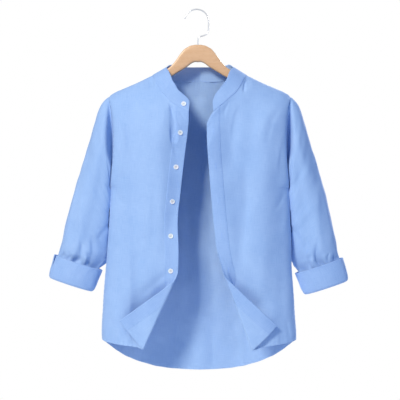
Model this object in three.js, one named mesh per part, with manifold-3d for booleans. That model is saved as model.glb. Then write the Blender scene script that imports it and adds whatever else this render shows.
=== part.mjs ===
// A mandarin collar shirt on a wooden hanger, worn open, with turned-up sleeves and two front corners folded back.
// Units are millimetres. +Z is up, -Y is the front, +X is the wearer's left. The origin is the highest point
// inside the hook, where a rail carries it. "Right" and "left" in names are the wearer's.
// Every cloth piece is a sheet worked out from its cut, hung in space, and given its wall thickness.

import * as THREE from "three";
import Module from "manifold-3d";
import { mergeVertices } from "three/addons/utils/BufferGeometryUtils.js";

const wasm = await Module();
wasm.setup();

// Driving sizes

const CLOTH = 1.4; // wall of a single layer
const DOUBLE_CLOTH = 1.8; // wall of the collar band and the turned-up cuffs
const SEAM_HALF_GAP = 0.55; // half the gap between two pieces at the side and shoulder seams
const PLACKET_HALF_GAP = 0.4; // half the gap at a placket's seam
const COLLAR_SEAM_GAP = 1; // from the neckline to the collar band
const SHIRT_OFF_CENTRE = 4.5; // the shirt hangs a little to one side of the hook

const FRONT_DEPTH = 72; // how far the fronts stand out from the side seams
const BACK_DEPTH = 58; // how far the back stands out from the side seams
const SHOULDER_ROUND = 170; // height over which the body fills out below the shoulder line
const SIDE_ROUND_CHEST = 150; // width over which it fills out from the side seam
const SIDE_ROUND_SHOULDER = 40; // and from the shoulder tip

const LEFT_SIDE_IN = 5.5; // how much nearer the left side seam hangs below the waist
const BELOW_HEM = -875; // a height below the front hem, where searches along the edge start
const PLACKET_WIDTH = 33;
const CORNER_ROLL = 5; // radius of the roll where a front corner is folded back
const CORNER_LIFT = 0.05; // how fast the folded corner lifts off the front

const BUTTON_RADIUS = 6.25;
const BUTTON_THICK = 2.6;
const BUTTON_FROM_EDGE = 18.5;
const BUTTON_SPACING = 86.2;
const FIRST_BUTTON_Z = -316;
const PLACKET_BUTTONS = 5;

const PLACKET_COLUMNS = 3; // columns of cells across a placket
const NECK_COLUMNS = 7; // and over half a panel's neckline

const HOOK_WIRE = 1.8; // radius
const HOOK_RADIUS = 30.6; // of the wire's centre line
const HANGER_THICK = 14;

// Points and tables. x is measured from the middle of the shirt towards one side.

const SHOULDER_TIP = { x: 232, z: -223 };
const UNDERARM = { x: 228, z: -452 };
const NECK_POINT = { x: 118.6, z: -166 }; // where the shoulder seam meets the collar
const HEM_CORNER = { x: 249, z: -838 }; // foot of the side seam
const ARMHOLE = { depth: 34, hollow: 12 };

const shoulderLine = [
  { x: 0, z: -113 },
  { x: NECK_POINT.x, z: NECK_POINT.z },
  { x: 159, z: -185.5 },
  { x: 196, z: -201.5 },
  { x: 224, z: -215 },
  { x: SHOULDER_TIP.x, z: SHOULDER_TIP.z },
];

const sideSeam = [
  { z: HEM_CORNER.z, x: HEM_CORNER.x },
  { z: -816, x: 250 },
  { z: -765, x: 247.4 },
  { z: -704, x: 243.5 },
  { z: -586, x: 234 },
  { z: -484, x: 228.7 },
  { z: UNDERARM.z, x: UNDERARM.x },
];

const frontHem = [
  { x: 30, z: -857 },
  { x: 100, z: -859 },
  { x: 140, z: -857.5 },
  { x: 156, z: -852 },
  { x: 187, z: -848 },
  { x: 235, z: -842 },
  { x: HEM_CORNER.x, z: HEM_CORNER.z },
];

const backHem = [
  { x: 0, z: -925 },
  { x: 60, z: -923 },
  { x: 102, z: -918 },
  { x: 131, z: -911 },
  { x: 180, z: -893 },
  { x: 208, z: -877 },
  { x: 230, z: -859 },
  { x: 243, z: -846 },
  { x: HEM_CORNER.x, z: HEM_CORNER.z },
];

const backNeck = [
  { x: 0, z: -180 },
  { x: 60, z: -178 },
  { x: 100, z: -171.5 },
  { x: NECK_POINT.x, z: NECK_POINT.z },
];

// The two fronts hang differently: edge is the front edge, neck the neckline, collarEnd where on it the collar
// starts, cornerFold the line of the fold, and folds are soft ridges (depth above 0) and troughs that run from a high point to a low one.
const fronts = {
  right: {
    sign: -1,
    edge: [
      { z: -862, x: 41 },
      { z: -760, x: 50 },
      { z: -690, x: 55 },
      { z: -654, x: 53.3 },
      { z: -594, x: 53 },
      { z: -534, x: 54.3 },
      { z: -474, x: 48.6 },
      { z: -415, x: 42.4 },
      { z: -355, x: 35.4 },
      { z: -296, x: 28.2 },
      { z: -264, x: 27.4 },
    ],
    neck: [
      { x: 27.4, z: -264 },
      { x: 65, z: -243.4 },
      { x: 86, z: -222 },
      { x: 104, z: -198 },
      { x: 115.5, z: -175 },
      { x: NECK_POINT.x, z: NECK_POINT.z },
    ],
    collarEnd: 27.4,
    cornerFold: { high: { x: 60.9, z: -670.3 }, low: { x: 144.6, z: -854.3 } },
    folds: [
      { highX: 172, highZ: -300, lowX: 152, lowZ: -800, width: 24, depth: -8 },
      { highX: 92, highZ: -290, lowX: 92, lowZ: -640, width: 24, depth: 4 },
      { highX: 70, highZ: -262, lowX: 63, lowZ: -330, width: 6, depth: -4 },
      { highX: 126, highZ: -172, lowX: 119, lowZ: -200, width: 6, depth: -3 },
    ],
  },
  left: {
    sign: 1,
    edge: [
      { z: -862, x: 36.5 },
      { z: -760, x: 49 },
      { z: -700, x: 55.5 },
      { z: -668, x: 56.5 },
      { z: -640, x: 49.3 },
      { z: -615, x: 43.6 },
      { z: -594, x: 40.4 },
      { z: -534, x: 33.7 },
      { z: -474, x: 28.3 },
      { z: -414, x: 23.5 },
      { z: -354, x: 19 },
      { z: -310, x: 17.4 },
      { z: -284, x: 17.4 },
    ],
    neck: [
      { x: 17.4, z: -296 },
      { x: 21, z: -286 },
      { x: 27, z: -274 },
      { x: 35, z: -263 },
      { x: 57, z: -244 },
      { x: 77, z: -226 },
      { x: 98, z: -203 },
      { x: 112, z: -178 },
      { x: NECK_POINT.x, z: NECK_POINT.z },
    ],
    collarEnd: 34,
    cornerFold: { high: { x: 65.2, z: -665.7 }, low: { x: 137.5, z: -857.8 } },
    folds: [
      { highX: 130, highZ: -270, lowX: 100, lowZ: -620, width: 26, depth: -6 },
      { highX: 165, highZ: -330, lowX: 160, lowZ: -760, width: 26, depth: 4 },
      { highX: 205, highZ: -420, lowX: 212, lowZ: -800, width: 16, depth: -4 },
      { highX: 124, highZ: -174, lowX: 116, lowZ: -204, width: 6, depth: -3 },
    ],
  },
};

const backFolds = [
  { highX: -150, highZ: -300, lowX: -165, lowZ: -840, width: 26, depth: -8 },
  { highX: -70, highZ: -330, lowX: -78, lowZ: -860, width: 30, depth: 5 },
  { highX: 10, highZ: -260, lowX: 4, lowZ: -880, width: 24, depth: -6 },
  { highX: 84, highZ: -360, lowX: 92, lowZ: -860, width: 30, depth: 5 },
  { highX: 158, highZ: -320, lowX: 150, lowZ: -840, width: 24, depth: -8 },
];

// The collar band's top edge, as steps from the seam, at shares of the way round each half.
// Shares run from 0 at the front end, past 0.55 at the shoulder seam, to 1 at the middle of the back.
const collarRise = [
  { share: 0, x: -3, y: 9, z: 33 },
  { share: 0.16, x: -17, y: 8, z: 30 },
  { share: 0.3, x: -27, y: 4, z: 27 },
  { share: 0.43, x: -34, y: -2, z: 23 },
  { share: 0.55, x: -33, y: -5, z: 19 },
  { share: 0.62, x: -28, y: -2, z: 31 },
  { share: 0.7, x: -18, y: -4, z: 36 },
  { share: 0.83, x: -9, y: -6, z: 37 },
  { share: 1, x: 0, y: -6, z: 38 },
];

// The sleeve, as rings between its outer edge and its underarm edge. The first is the armhole itself.
const sleeveRings = [
  { t: 0.1, outerX: 252, outerZ: -247, innerX: 232.5, innerZ: -462, y: 3, depth: 37 },
  { t: 0.2, outerX: 268, outerZ: -290, innerX: 232.5, innerZ: -480, y: 8, depth: 42 },
  { t: 0.35, outerX: 287, outerZ: -353, innerX: 232.8, innerZ: -510, y: 14, depth: 45 },
  { t: 0.5, outerX: 306, outerZ: -412, innerX: 234.5, innerZ: -540, y: 18, depth: 46 },
  { t: 0.65, outerX: 325, outerZ: -478, innerX: 237, innerZ: -572, y: 20, depth: 45 },
  { t: 0.8, outerX: 344, outerZ: -558, innerX: 241, innerZ: -610, y: 21, depth: 42 },
  { t: 0.92, outerX: 355, outerZ: -610, innerX: 246.5, innerZ: -643, y: 20, depth: 36 },
];

const CUFF = {
  middle: { x: 309, z: -648 }, // middle of its top edge, seen from the front
  height: 60,
  tilt: 18.2, // degrees
  y: 19,
  wallToSleeve: 7, // between the turned-up layer and the sleeve inside it, at the fold
};

// Half-length and half-depth of the turned-up band at heights above its fold
const cuffBand = [
  { height: 0, length: 57, depth: 26 },
  { height: 8, length: 60, depth: 29 },
  { height: 30, length: 62, depth: 32 },
  { height: 60, length: 64, depth: 35 },
];

// Gathers where the sleeve goes into the cuff: across is 1 at the outer edge and -1 at the underarm edge
const sleeveGathers = [
  { face: "front", across: 0.8, width: 0.13, depth: 7, reach: 0.1 },
  { face: "front", across: 0.1, width: 0.14, depth: 10, reach: 0.16 },
  { face: "front", across: -0.62, width: 0.16, depth: 10, reach: 0.3 },
  { face: "back", across: 0.55, width: 0.14, depth: 9, reach: 0.16 },
  { face: "back", across: -0.1, width: 0.14, depth: 10, reach: 0.2 },
  { face: "back", across: -0.65, width: 0.14, depth: 8, reach: 0.14 },
];

const sleeves = {
  right: { sign: -1, shiftX: 3, shiftZ: 4 },
  left: { sign: 1, shiftX: -3, shiftZ: -4 },
};

// The hanger's outline on one side of its middle: its upper and its lower edge
const hangerEdges = [
  { x: 0, top: -89, foot: -133 },
  { x: 12, top: -89.8, foot: -134 },
  { x: 28, top: -96, foot: -145 },
  { x: 41, top: -107, foot: -153 },
  { x: 54, top: -125, foot: -161 },
  { x: 66, top: -140, foot: -168.5 },
  { x: 82, top: -153, foot: -177 },
  { x: 100, top: -167, foot: -188 },
  { x: 118, top: -176.9, foot: -198 },
  { x: 159, top: -193.8, foot: -215 },
  { x: 190, top: -205.8, foot: -228 },
  { x: 202, top: -211.8, foot: -232 },
  { x: 208, top: -217.3, foot: -230 },
];

// Small maths

const clamp = (v, low, high) => Math.min(high, Math.max(low, v));
const mix = (a, b, share) => a + (b - a) * share;
const smooth = (share) => share * share * (3 - 2 * share);

// A smooth curve through one column of a table against another, flat beyond its ends.
function curve(table, along, column) {
  const rows = [...table].sort((a, b) => a[along] - b[along]);
  const at = rows.map((row) => row[along]);
  const value = rows.map((row) => row[column]);
  const last = rows.length - 1;
  const slope = value.map((_, i) => {
    const before = Math.max(0, i - 1);
    const after = Math.min(last, i + 1);
    return (value[after] - value[before]) / (at[after] - at[before]);
  });
  return (v) => {
    if (v <= at[0]) return value[0];
    if (v >= at[last]) return value[last];
    let i = 0;
    while (v > at[i + 1]) i += 1;
    const step = at[i + 1] - at[i];
    const s = (v - at[i]) / step;
    const a = value[i] + slope[i] * step * s;
    const b = value[i + 1] - slope[i + 1] * step * (1 - s);
    return mix(a, b, smooth(s));
  };
}

// The point where a rising or falling function reaches zero between low and high
function rootOf(fn, low, high) {
  let [a, b] = [low, high];
  const startsBelow = fn(a) < 0;
  for (let i = 0; i < 50; i += 1) {
    const middle = (a + b) / 2;
    if (fn(middle) < 0 === startsBelow) a = middle;
    else b = middle;
  }
  return (a + b) / 2;
}

// The hung body

// Where a point of the cut hangs sideways. The left side hangs in below the waist, most at the seam.
function hungX(sign, x, z) {
  if (sign < 0) return -x;
  const waist = smooth(clamp((-560 - z) / 120, 0, 1));
  const low = mix(1, 0.55, clamp((-790 - z) / 50, 0, 1));
  return x - LEFT_SIDE_IN * waist * low * smooth(clamp(x / HEM_CORNER.x, 0, 1));
}

const shoulderZ = curve(shoulderLine, "x", "z");
const seamX = curve(sideSeam, "z", "x");
const frontHemZ = curve(frontHem, "x", "z");
const backHemZ = curve(backHem, "x", "z");
const backNeckZ = curve(backNeck, "x", "z");

const armholeMiddleZ = (SHOULDER_TIP.z + UNDERARM.z) / 2;
const armholeHalf = (SHOULDER_TIP.z - UNDERARM.z) / 2;

// The armhole at an angle from the shoulder tip (0) over the front (90 degrees) to the underarm (180 degrees)
function armhole(angle) {
  const z = armholeMiddleZ + armholeHalf * Math.cos(angle);
  const straight = mix(UNDERARM.x, SHOULDER_TIP.x, (z - UNDERARM.z) / (2 * armholeHalf));
  const hollow = ARMHOLE.hollow * Math.sin(angle) ** 2 * (1 + 0.3 * Math.cos(angle));
  return { x: straight - hollow, depth: ARMHOLE.depth * Math.sin(angle), z };
}

// The body's edge at a height: its distance from the middle, and how far the cloth stands out there
function bodyEdge(z) {
  if (z <= UNDERARM.z) return { x: seamX(z), depth: 0 };
  return armhole(Math.acos(clamp((z - armholeMiddleZ) / armholeHalf, -1, 1)));
}

function softFolds(folds, x, z) {
  let sum = 0;
  for (const fold of folds) {
    const along = (fold.highZ - z) / (fold.highZ - fold.lowZ);
    const end = 0.25;
    const fade = smooth(clamp((along + end) / end, 0, 1)) * smooth(clamp((1 + end - along) / end, 0, 1));
    const off = (x - mix(fold.highX, fold.lowX, along)) / fold.width;
    sum += fold.depth * fade * Math.exp(-off * off);
  }
  return sum;
}

// How far the cloth stands out from the plane of the side seams: a quarter ellipse in from the side seam or
// armhole, times a rise below the shoulder line.
function standsOut(x, z, full, folds, foldX) {
  const below = clamp((shoulderZ(x) - z) / SHOULDER_ROUND, 0, 1);
  const rise = (1 - (1 - below) ** 2) ** 0.62;
  const edge = bodyEdge(z);
  const wide = clamp((SHOULDER_TIP.z - z) / 180, 0, 1);
  const round = mix(SIDE_ROUND_SHOULDER, SIDE_ROUND_CHEST, smooth(wide));
  const inside = clamp((edge.x - x) / round, 0, 1);
  const turn = Math.sqrt(1 - (1 - inside) ** 2.2);
  const depth = edge.depth + (full * rise - edge.depth) * turn;
  return Math.max(SEAM_HALF_GAP, depth + softFolds(folds, foldX, z) * turn * rise);
}

// A front's point where it hangs, its lower corner rolled over the fold line and laid back on the front
function frontPoint(side, x, z) {
  const front = fronts[side];
  const out = (px, pz) => standsOut(px, pz, FRONT_DEPTH, front.folds, px);
  const { past, toCorner } = pastCornerFold(front, x, z);
  if (past <= 0) return new THREE.Vector3(hungX(front.sign, x, z), -out(x, z), z);
  const footX = x - past * toCorner.x;
  const footZ = z - past * toCorner.z;
  const rolled = Math.min(past / CORNER_ROLL, Math.PI);
  const back = past - CORNER_ROLL * rolled;
  const reach = CORNER_ROLL * Math.sin(rolled) - back;
  const px = footX + reach * toCorner.x;
  const pz = footZ + reach * toCorner.z;
  const lift = CORNER_ROLL * (1 - Math.cos(rolled)) + CORNER_LIFT * back;
  return new THREE.Vector3(hungX(front.sign, px, pz), -out(px, pz) - lift, pz);
}

// How far a point of the cut lies past the fold line, and the direction from the line to the corner
function pastCornerFold(front, x, z) {
  const { high, low } = front.cornerFold;
  const length = Math.hypot(low.x - high.x, low.z - high.z);
  const toCorner = { x: (low.z - high.z) / length, z: (high.x - low.x) / length };
  const past = (x - high.x) * toCorner.x + (z - high.z) * toCorner.z;
  return { past, toCorner };
}

function backPoint(sign, x, z) {
  return new THREE.Vector3(hungX(sign, x, z), standsOut(x, z, BACK_DEPTH, backFolds, sign * x), z);
}

// Sheets and solids

// A sheet is a list of points and of triangles between them. Patches that meet share their points.
class Sheet {
  constructor() {
    this.points = [];
    this.faces = [];
    this.index = new Map();
  }

  point(p) {
    const key = [p.x, p.y, p.z].map((v) => Math.round(v * 1000)).join(",");
    if (!this.index.has(key)) {
      this.index.set(key, this.points.length);
      this.points.push(p);
    }
    return this.index.get(key);
  }

  // Rows of points, all of one length, joined by two triangles a cell, cut along its shorter diagonal
  patch(rows) {
    const ids = rows.map((row) => row.map((p) => this.point(p)));
    const apart = (a, b) => this.points[a].distanceTo(this.points[b]);
    for (let i = 0; i + 1 < ids.length; i += 1) {
      for (let j = 0; j + 1 < ids[i].length; j += 1) {
        const [a, b, c, d] = [ids[i][j], ids[i][j + 1], ids[i + 1][j + 1], ids[i + 1][j]];
        if (apart(a, c) <= apart(b, d)) {
          this.face(a, b, c);
          this.face(a, c, d);
        } else {
          this.face(a, b, d);
          this.face(b, c, d);
        }
      }
    }
    return this;
  }

  face(a, b, c) {
    if (a !== b && b !== c && c !== a) this.faces.push([a, b, c]);
  }
}

// The wall of a sheet: both its sides, half the thickness off, and a rim along every free edge
function wallOf(sheet, thickness) {
  const { points, faces } = sheet;
  const normals = points.map(() => new THREE.Vector3());
  for (const face of faces) {
    const [a, b, c] = face.map((i) => points[i]);
    const normal = b.clone().sub(a).cross(c.clone().sub(a)).normalize();
    face.forEach((i, k) => {
      const [next, last] = [points[face[(k + 1) % 3]], points[face[(k + 2) % 3]]];
      const angle = next.clone().sub(points[i]).angleTo(last.clone().sub(points[i]));
      normals[i].addScaledVector(normal, angle);
    });
  }
  normals.forEach((n) => n.normalize());
  const count = points.length;
  const position = [];
  for (const side of [1, -1]) {
    points.forEach((p, i) => {
      const q = p.clone().addScaledVector(normals[i], (side * thickness) / 2);
      position.push(q.x, q.y, q.z);
    });
  }
  const triangles = [];
  const edges = new Map();
  for (const [a, b, c] of faces) {
    triangles.push(a, b, c, count + a, count + c, count + b);
    for (const [from, to] of [[a, b], [b, c], [c, a]]) edges.set(`${from},${to}`, [from, to]);
  }
  for (const [from, to] of edges.values()) {
    if (edges.has(`${to},${from}`)) continue;
    triangles.push(to, from, count + from, to, count + from, count + to);
  }
  return geometryFrom(position, triangles);
}

function geometryFrom(position, triangles) {
  const geometry = new THREE.BufferGeometry();
  geometry.setAttribute("position", new THREE.Float32BufferAttribute(position, 3));
  geometry.setIndex(triangles);
  if (signedVolume(geometry) < 0) {
    for (let i = 0; i < triangles.length; i += 3) {
      [triangles[i + 1], triangles[i + 2]] = [triangles[i + 2], triangles[i + 1]];
    }
    geometry.setIndex(triangles);
  }
  geometry.computeVertexNormals();
  return geometry;
}

function signedVolume(geometry) {
  const { position } = geometry.attributes;
  const [a, b, c] = [new THREE.Vector3(), new THREE.Vector3(), new THREE.Vector3()];
  let sum = 0;
  for (let i = 0; i < geometry.index.count; i += 3) {
    a.fromBufferAttribute(position, geometry.index.getX(i));
    b.fromBufferAttribute(position, geometry.index.getX(i + 1));
    c.fromBufferAttribute(position, geometry.index.getX(i + 2));
    sum += a.dot(b.cross(c)) / 6;
  }
  return sum;
}

// A closed geometry as a manifold solid, and back
function solidOf(geometry) {
  const bare = geometry.clone();
  bare.deleteAttribute("normal");
  bare.deleteAttribute("uv");
  const merged = mergeVertices(bare, 1e-3);
  return new wasm.Manifold(
    new wasm.Mesh({
      numProp: 3,
      vertProperties: new Float32Array(merged.attributes.position.array),
      triVerts: new Uint32Array(merged.index.array),
    }),
  );
}

function geometryOf(solid) {
  const mesh = solid.getMesh();
  return geometryFrom([...mesh.vertProperties], [...mesh.triVerts]);
}

// Evenly spaced shares from 0 to 1, and shares that crowd towards 1
const shares = (count) => Array.from({ length: count + 1 }, (_, i) => i / count);
const crowded = (count, power) => shares(count).map((s) => 1 - (1 - s) ** power);

// Four edges filled in: a Coons patch in the plane of the cut
function coons(inner, outer, bottom, top, u, v) {
  const blend = (key) =>
    mix(inner(v)[key], outer(v)[key], u) +
    mix(bottom(u)[key], top(u)[key], v) -
    mix(mix(inner(0)[key], outer(0)[key], u), mix(inner(1)[key], outer(1)[key], u), v);
  return { x: blend("x"), z: blend("z") };
}

const SHOULDER_SHARE = 0.5; // share of a panel's top edge that is neckline, in columns
const outerEdge = (z) => ({ x: bodyEdge(z).x, z });

// The front panel's top edge: up the neckline to the neck point, then down the shoulder seam
function topEdge(neck, startX, u) {
  if (u <= SHOULDER_SHARE) {
    const x = mix(startX, NECK_POINT.x, u / SHOULDER_SHARE);
    return { x, z: neck(x) };
  }
  const x = mix(NECK_POINT.x, SHOULDER_TIP.x, (u - SHOULDER_SHARE) / (1 - SHOULDER_SHARE));
  return { x, z: shoulderZ(x) };
}

// Columns of a body panel: even over the neckline, and crowding towards the side seam
function panelColumns(half) {
  const neckPart = shares(half).map((s) => s * SHOULDER_SHARE);
  const sidePart = crowded(half, 2.1).slice(1);
  return [...neckPart, ...sidePart.map((s) => mix(SHOULDER_SHARE, 1, s))];
}

// Shirt pieces

// Where the placket's seam crosses the fold line, and the curves that bound the pieces of one front
function frontLines(side) {
  const front = fronts[side];
  const edgeX = curve(front.edge, "z", "x");
  const neckZ = curve(front.neck, "x", "z");
  const topOf = (off) => rootOf((z) => z - neckZ(edgeX(z) + off), -300, -200);
  const past = (x, z) => pastCornerFold(front, x, z).past;
  const onLine = (off, distance) => {
    const z = rootOf((h) => past(edgeX(h) + off, h) - distance, BELOW_HEM, -560);
    return { x: edgeX(z) + off, z };
  };
  const onHem = (distance) => {
    const x = rootOf((h) => past(h, frontHemZ(h)) - distance, 36, 200);
    return { x, z: frontHemZ(x) };
  };
  return { edgeX, neckZ, topOf, past, onLine, onHem };
}

const rollSteps = [0, 0.25, 0.5, 0.75, 1].map((s) => s * Math.PI * CORNER_ROLL);
const cornerShares = [0.35, 0.7, 1];

// The panel and the placket share their levels along the seam, from the fold up to the neckline
const seamShares = crowded(16, 1.4);

function frontPanel(side) {
  const { edgeX, neckZ, topOf, past, onLine, onHem } = frontLines(side);
  const off = PLACKET_WIDTH + PLACKET_HALF_GAP;
  const seamTop = topOf(off);
  const foldTop = onLine(off, 0);
  const foldFoot = onHem(0);
  const foldRows = 4;
  const rowPoints = [
    ...shares(foldRows).map((s) => ({ x: mix(foldFoot.x, foldTop.x, s), z: mix(foldFoot.z, foldTop.z, s) })),
    ...seamShares.slice(1).map((s) => {
      const z = mix(foldTop.z, seamTop, s);
      return { x: edgeX(z) + off, z };
    }),
  ];
  const innerAt = (v) => rowPoints[Math.round(v * (rowPoints.length - 1))];
  const heightShare = (v) => (innerAt(v).z - foldFoot.z) / (seamTop - foldFoot.z);
  const outerAt = (v) => outerEdge(mix(HEM_CORNER.z, SHOULDER_TIP.z, heightShare(v)));
  const bottomAt = (u) => {
    const x = mix(foldFoot.x, HEM_CORNER.x, u);
    return { x, z: frontHemZ(x) };
  };
  const startX = edgeX(seamTop) + off;
  const topAt = (u) => topEdge(neckZ, startX, u);
  const sheet = new Sheet();
  const columns = panelColumns(NECK_COLUMNS);
  const point = (p) => frontPoint(side, p.x, p.z);
  const main = rowPoints.map((inner, i) => {
    const v = i / (rowPoints.length - 1);
    const h = heightShare(v);
    return columns.map((u) => {
      const ends = { x: mix(inner.x, outerAt(v).x, u), z: mix(inner.z, outerAt(v).z, u) };
      const lowEnd = { x: mix(foldFoot.x, HEM_CORNER.x, u), z: mix(foldFoot.z, HEM_CORNER.z, u) };
      const highEnd = { x: mix(startX, SHOULDER_TIP.x, u), z: mix(seamTop, SHOULDER_TIP.z, u) };
      const x = ends.x + mix(bottomAt(u).x - lowEnd.x, topAt(u).x - highEnd.x, h);
      const z = ends.z + mix(bottomAt(u).z - lowEnd.z, topAt(u).z - highEnd.z, h);
      return point({ x: Math.min(x, bodyEdge(z).x), z });
    });
  });
  sheet.patch(main);
  const corner = past(edgeX(BELOW_HEM) + off, frontHemZ(edgeX(BELOW_HEM) + off));
  const flapSteps = [...rollSteps, ...cornerShares.map((s) => mix(Math.PI * CORNER_ROLL, corner, s))];
  const flap = flapSteps.map((distance) => {
    const from = onHem(distance);
    const to = onLine(off, distance);
    return shares(foldRows).map((s) => point({ x: mix(from.x, to.x, s), z: mix(from.z, to.z, s) }));
  });
  sheet.patch(flap);
  return wallOf(sheet, CLOTH);
}

function placket(side) {
  const { edgeX, neckZ, topOf, past, onLine } = frontLines(side);
  const width = PLACKET_WIDTH - PLACKET_HALF_GAP;
  const top = { edge: topOf(0), seam: topOf(width) };
  const fold = { edge: onLine(0, 0).z, seam: onLine(width, 0).z };
  const foot = { edge: frontHemZ(edgeX(BELOW_HEM)), seam: frontHemZ(edgeX(BELOW_HEM) + width) };
  const corner = { edge: past(edgeX(foot.edge), foot.edge), seam: past(edgeX(foot.seam) + width, foot.seam) };
  const rows = [
    ...[...seamShares].reverse().map((s) => ({
      edge: mix(fold.edge, top.edge, s),
      seam: mix(fold.seam, top.seam, s),
    })),
    ...rollSteps.slice(1).map((d) => ({ edge: onLine(0, d).z, seam: onLine(width, d).z })),
    ...cornerShares.slice(0, -1).map((s) => ({
      edge: onLine(0, mix(Math.PI * CORNER_ROLL, corner.edge, s)).z,
      seam: onLine(width, mix(Math.PI * CORNER_ROLL, corner.seam, s)).z,
    })),
    foot,
  ];
  const sheet = new Sheet();
  sheet.patch(
    rows.map((row, i) =>
      shares(PLACKET_COLUMNS).map((s) => {
        const level = mix(row.edge, row.seam, s);
        const x = edgeX(level) + width * s;
        const z = i === 0 ? neckZ(x) : level;
        return frontPoint(side, x, z);
      }),
    ),
  );
  return wallOf(sheet, CLOTH);
}

function backPanel() {
  const rows = crowded(19, 1.4);
  const columns = panelColumns(NECK_COLUMNS);
  const centre = { foot: backHemZ(0), top: backNeckZ(0) };
  const innerAt = (v) => ({ x: 0, z: mix(centre.foot, centre.top, v) });
  const outerAt = (v) => outerEdge(mix(HEM_CORNER.z, SHOULDER_TIP.z, v));
  const bottomAt = (u) => {
    const x = HEM_CORNER.x * u;
    return { x, z: backHemZ(x) };
  };
  const topAt = (u) => topEdge(backNeckZ, 0, u);
  const grid = rows.map((v) => {
    const half = columns.map((u) => coons(innerAt, outerAt, bottomAt, topAt, u, v));
    const at = (sign, p) => backPoint(sign, Math.min(p.x, bodyEdge(p.z).x), p.z);
    return [...half.slice(1).reverse().map((p) => at(-1, p)), ...half.map((p) => at(1, p))];
  });
  return wallOf(new Sheet().patch(grid), CLOTH);
}

const COLLAR_SHOULDER = 0.55; // share of a half of the collar that is forward of the shoulder seam

// The neckline of one half, through the panels' own corner points, with the share of the way round at each
function neckline(side) {
  const { edgeX, neckZ, topOf } = frontLines(side);
  const front = fronts[side];
  const edge = edgeX(topOf(0));
  const seam = edgeX(topOf(PLACKET_WIDTH)) + PLACKET_WIDTH + PLACKET_HALF_GAP;
  const onPlacket = shares(PLACKET_COLUMNS).map((s) => edge + (PLACKET_WIDTH - PLACKET_HALF_GAP) * s);
  const onPanel = shares(NECK_COLUMNS).map((s) => mix(seam, NECK_POINT.x, s));
  const xs = [front.collarEnd, ...onPlacket.slice(0, -1).filter((x) => x > front.collarEnd + 2), ...onPanel];
  const ahead = xs.map((x) => frontPoint(side, x, neckZ(x)));
  const behind = shares(NECK_COLUMNS).map((s) => {
    const x = mix(NECK_POINT.x, 0, s);
    return backPoint(front.sign, x, backNeckZ(x));
  });
  const along = (points, from, to) => {
    const steps = points.map((p, i) => (i ? p.distanceTo(points[i - 1]) : 0));
    const total = steps.reduce((sum, step) => sum + step, 0);
    let sum = 0;
    return points.map((p, i) => {
      sum += steps[i];
      return { p, share: mix(from, to, sum / total) };
    });
  };
  const shoulder = ahead.at(-1).clone().lerp(behind[0], 0.5);
  return [
    ...along([...ahead.slice(0, -1), shoulder], 0, COLLAR_SHOULDER),
    ...along([shoulder, ...behind.slice(1)], COLLAR_SHOULDER, 1).slice(1),
  ];
}

const necklines = { right: neckline("right"), left: neckline("left") };

// The neckline at a share of the way round, from the front end over the shoulder to the back's middle
function necklinePoint(side, share) {
  const line = necklines[side];
  const i = clamp(line.findIndex((corner) => corner.share > share) - 1, 0, line.length - 2);
  const at = share >= 1 ? line.length - 2 : i;
  const [from, to] = [line[at], line[at + 1]];
  return from.p.clone().lerp(to.p, (share - from.share) / (to.share - from.share));
}

const riseX = curve(collarRise, "share", "x");
const riseY = curve(collarRise, "share", "y");
const riseZ = curve(collarRise, "share", "z");
const COLLAR_CORNER = 0.09; // share of a half over which the band's front end is rounded off

function collarPoint(side, share, height) {
  const seam = necklinePoint(side, share);
  const rise = new THREE.Vector3(fronts[side].sign * riseX(share), riseY(share), riseZ(share));
  const length = rise.length();
  const fromEnd = clamp(share / COLLAR_CORNER, 0, 1);
  const cut = 1 - 0.3 * (1 - Math.sqrt(1 - (1 - fromEnd) ** 2));
  const from = COLLAR_SEAM_GAP / length;
  return seam.addScaledVector(rise, mix(from, cut, height));
}

function collarBand() {
  const heights = shares(3);
  const half = (side) => {
    const rounded = [0, 0.012, 0.03, 0.055];
    const corners = necklines[side].map((corner) => corner.share).filter((share) => share > 0.07);
    return [...rounded, ...corners].map((share) => heights.map((h) => collarPoint(side, share, h)));
  };
  const [right, left] = [half("right"), half("left")];
  return wallOf(new Sheet().patch([...right, ...left.reverse().slice(1)]), DOUBLE_CLOTH);
}

const tilt = THREE.MathUtils.degToRad(CUFF.tilt);
const alongCuff = { x: Math.cos(tilt), z: Math.sin(tilt) };
const downCuff = { x: Math.sin(tilt), z: -Math.cos(tilt) };
const bandLength = curve(cuffBand, "height", "length");
const bandDepth = curve(cuffBand, "height", "depth");

// The sleeve's rings as columns against t, its last two inside the cuff
function cuffRing(heightAboveFold, smaller) {
  const down = CUFF.height - heightAboveFold;
  const length = bandLength(heightAboveFold) - smaller;
  const x = CUFF.middle.x + down * downCuff.x;
  const z = CUFF.middle.z + down * downCuff.z;
  return {
    outerX: x + length * alongCuff.x,
    outerZ: z + length * alongCuff.z,
    innerX: x - length * alongCuff.x,
    innerZ: z - length * alongCuff.z,
    y: CUFF.y,
    depth: bandDepth(heightAboveFold) - smaller,
  };
}

const SLEEVE_END = 1.14;
const SLEEVE_END_HEIGHT = 9;
const allRings = [
  { t: 0, outerX: SHOULDER_TIP.x, outerZ: SHOULDER_TIP.z, innerX: UNDERARM.x, innerZ: UNDERARM.z, y: 0, depth: 34 },
  ...sleeveRings,
  { t: 1, ...cuffRing(CUFF.height, 9) },
  { t: SLEEVE_END, ...cuffRing(SLEEVE_END_HEIGHT, CUFF.wallToSleeve) },
];
const ringCurves = Object.fromEntries(
  ["outerX", "outerZ", "innerX", "innerZ", "y", "depth"].map((key) => [key, curve(allRings, "t", key)]),
);

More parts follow.
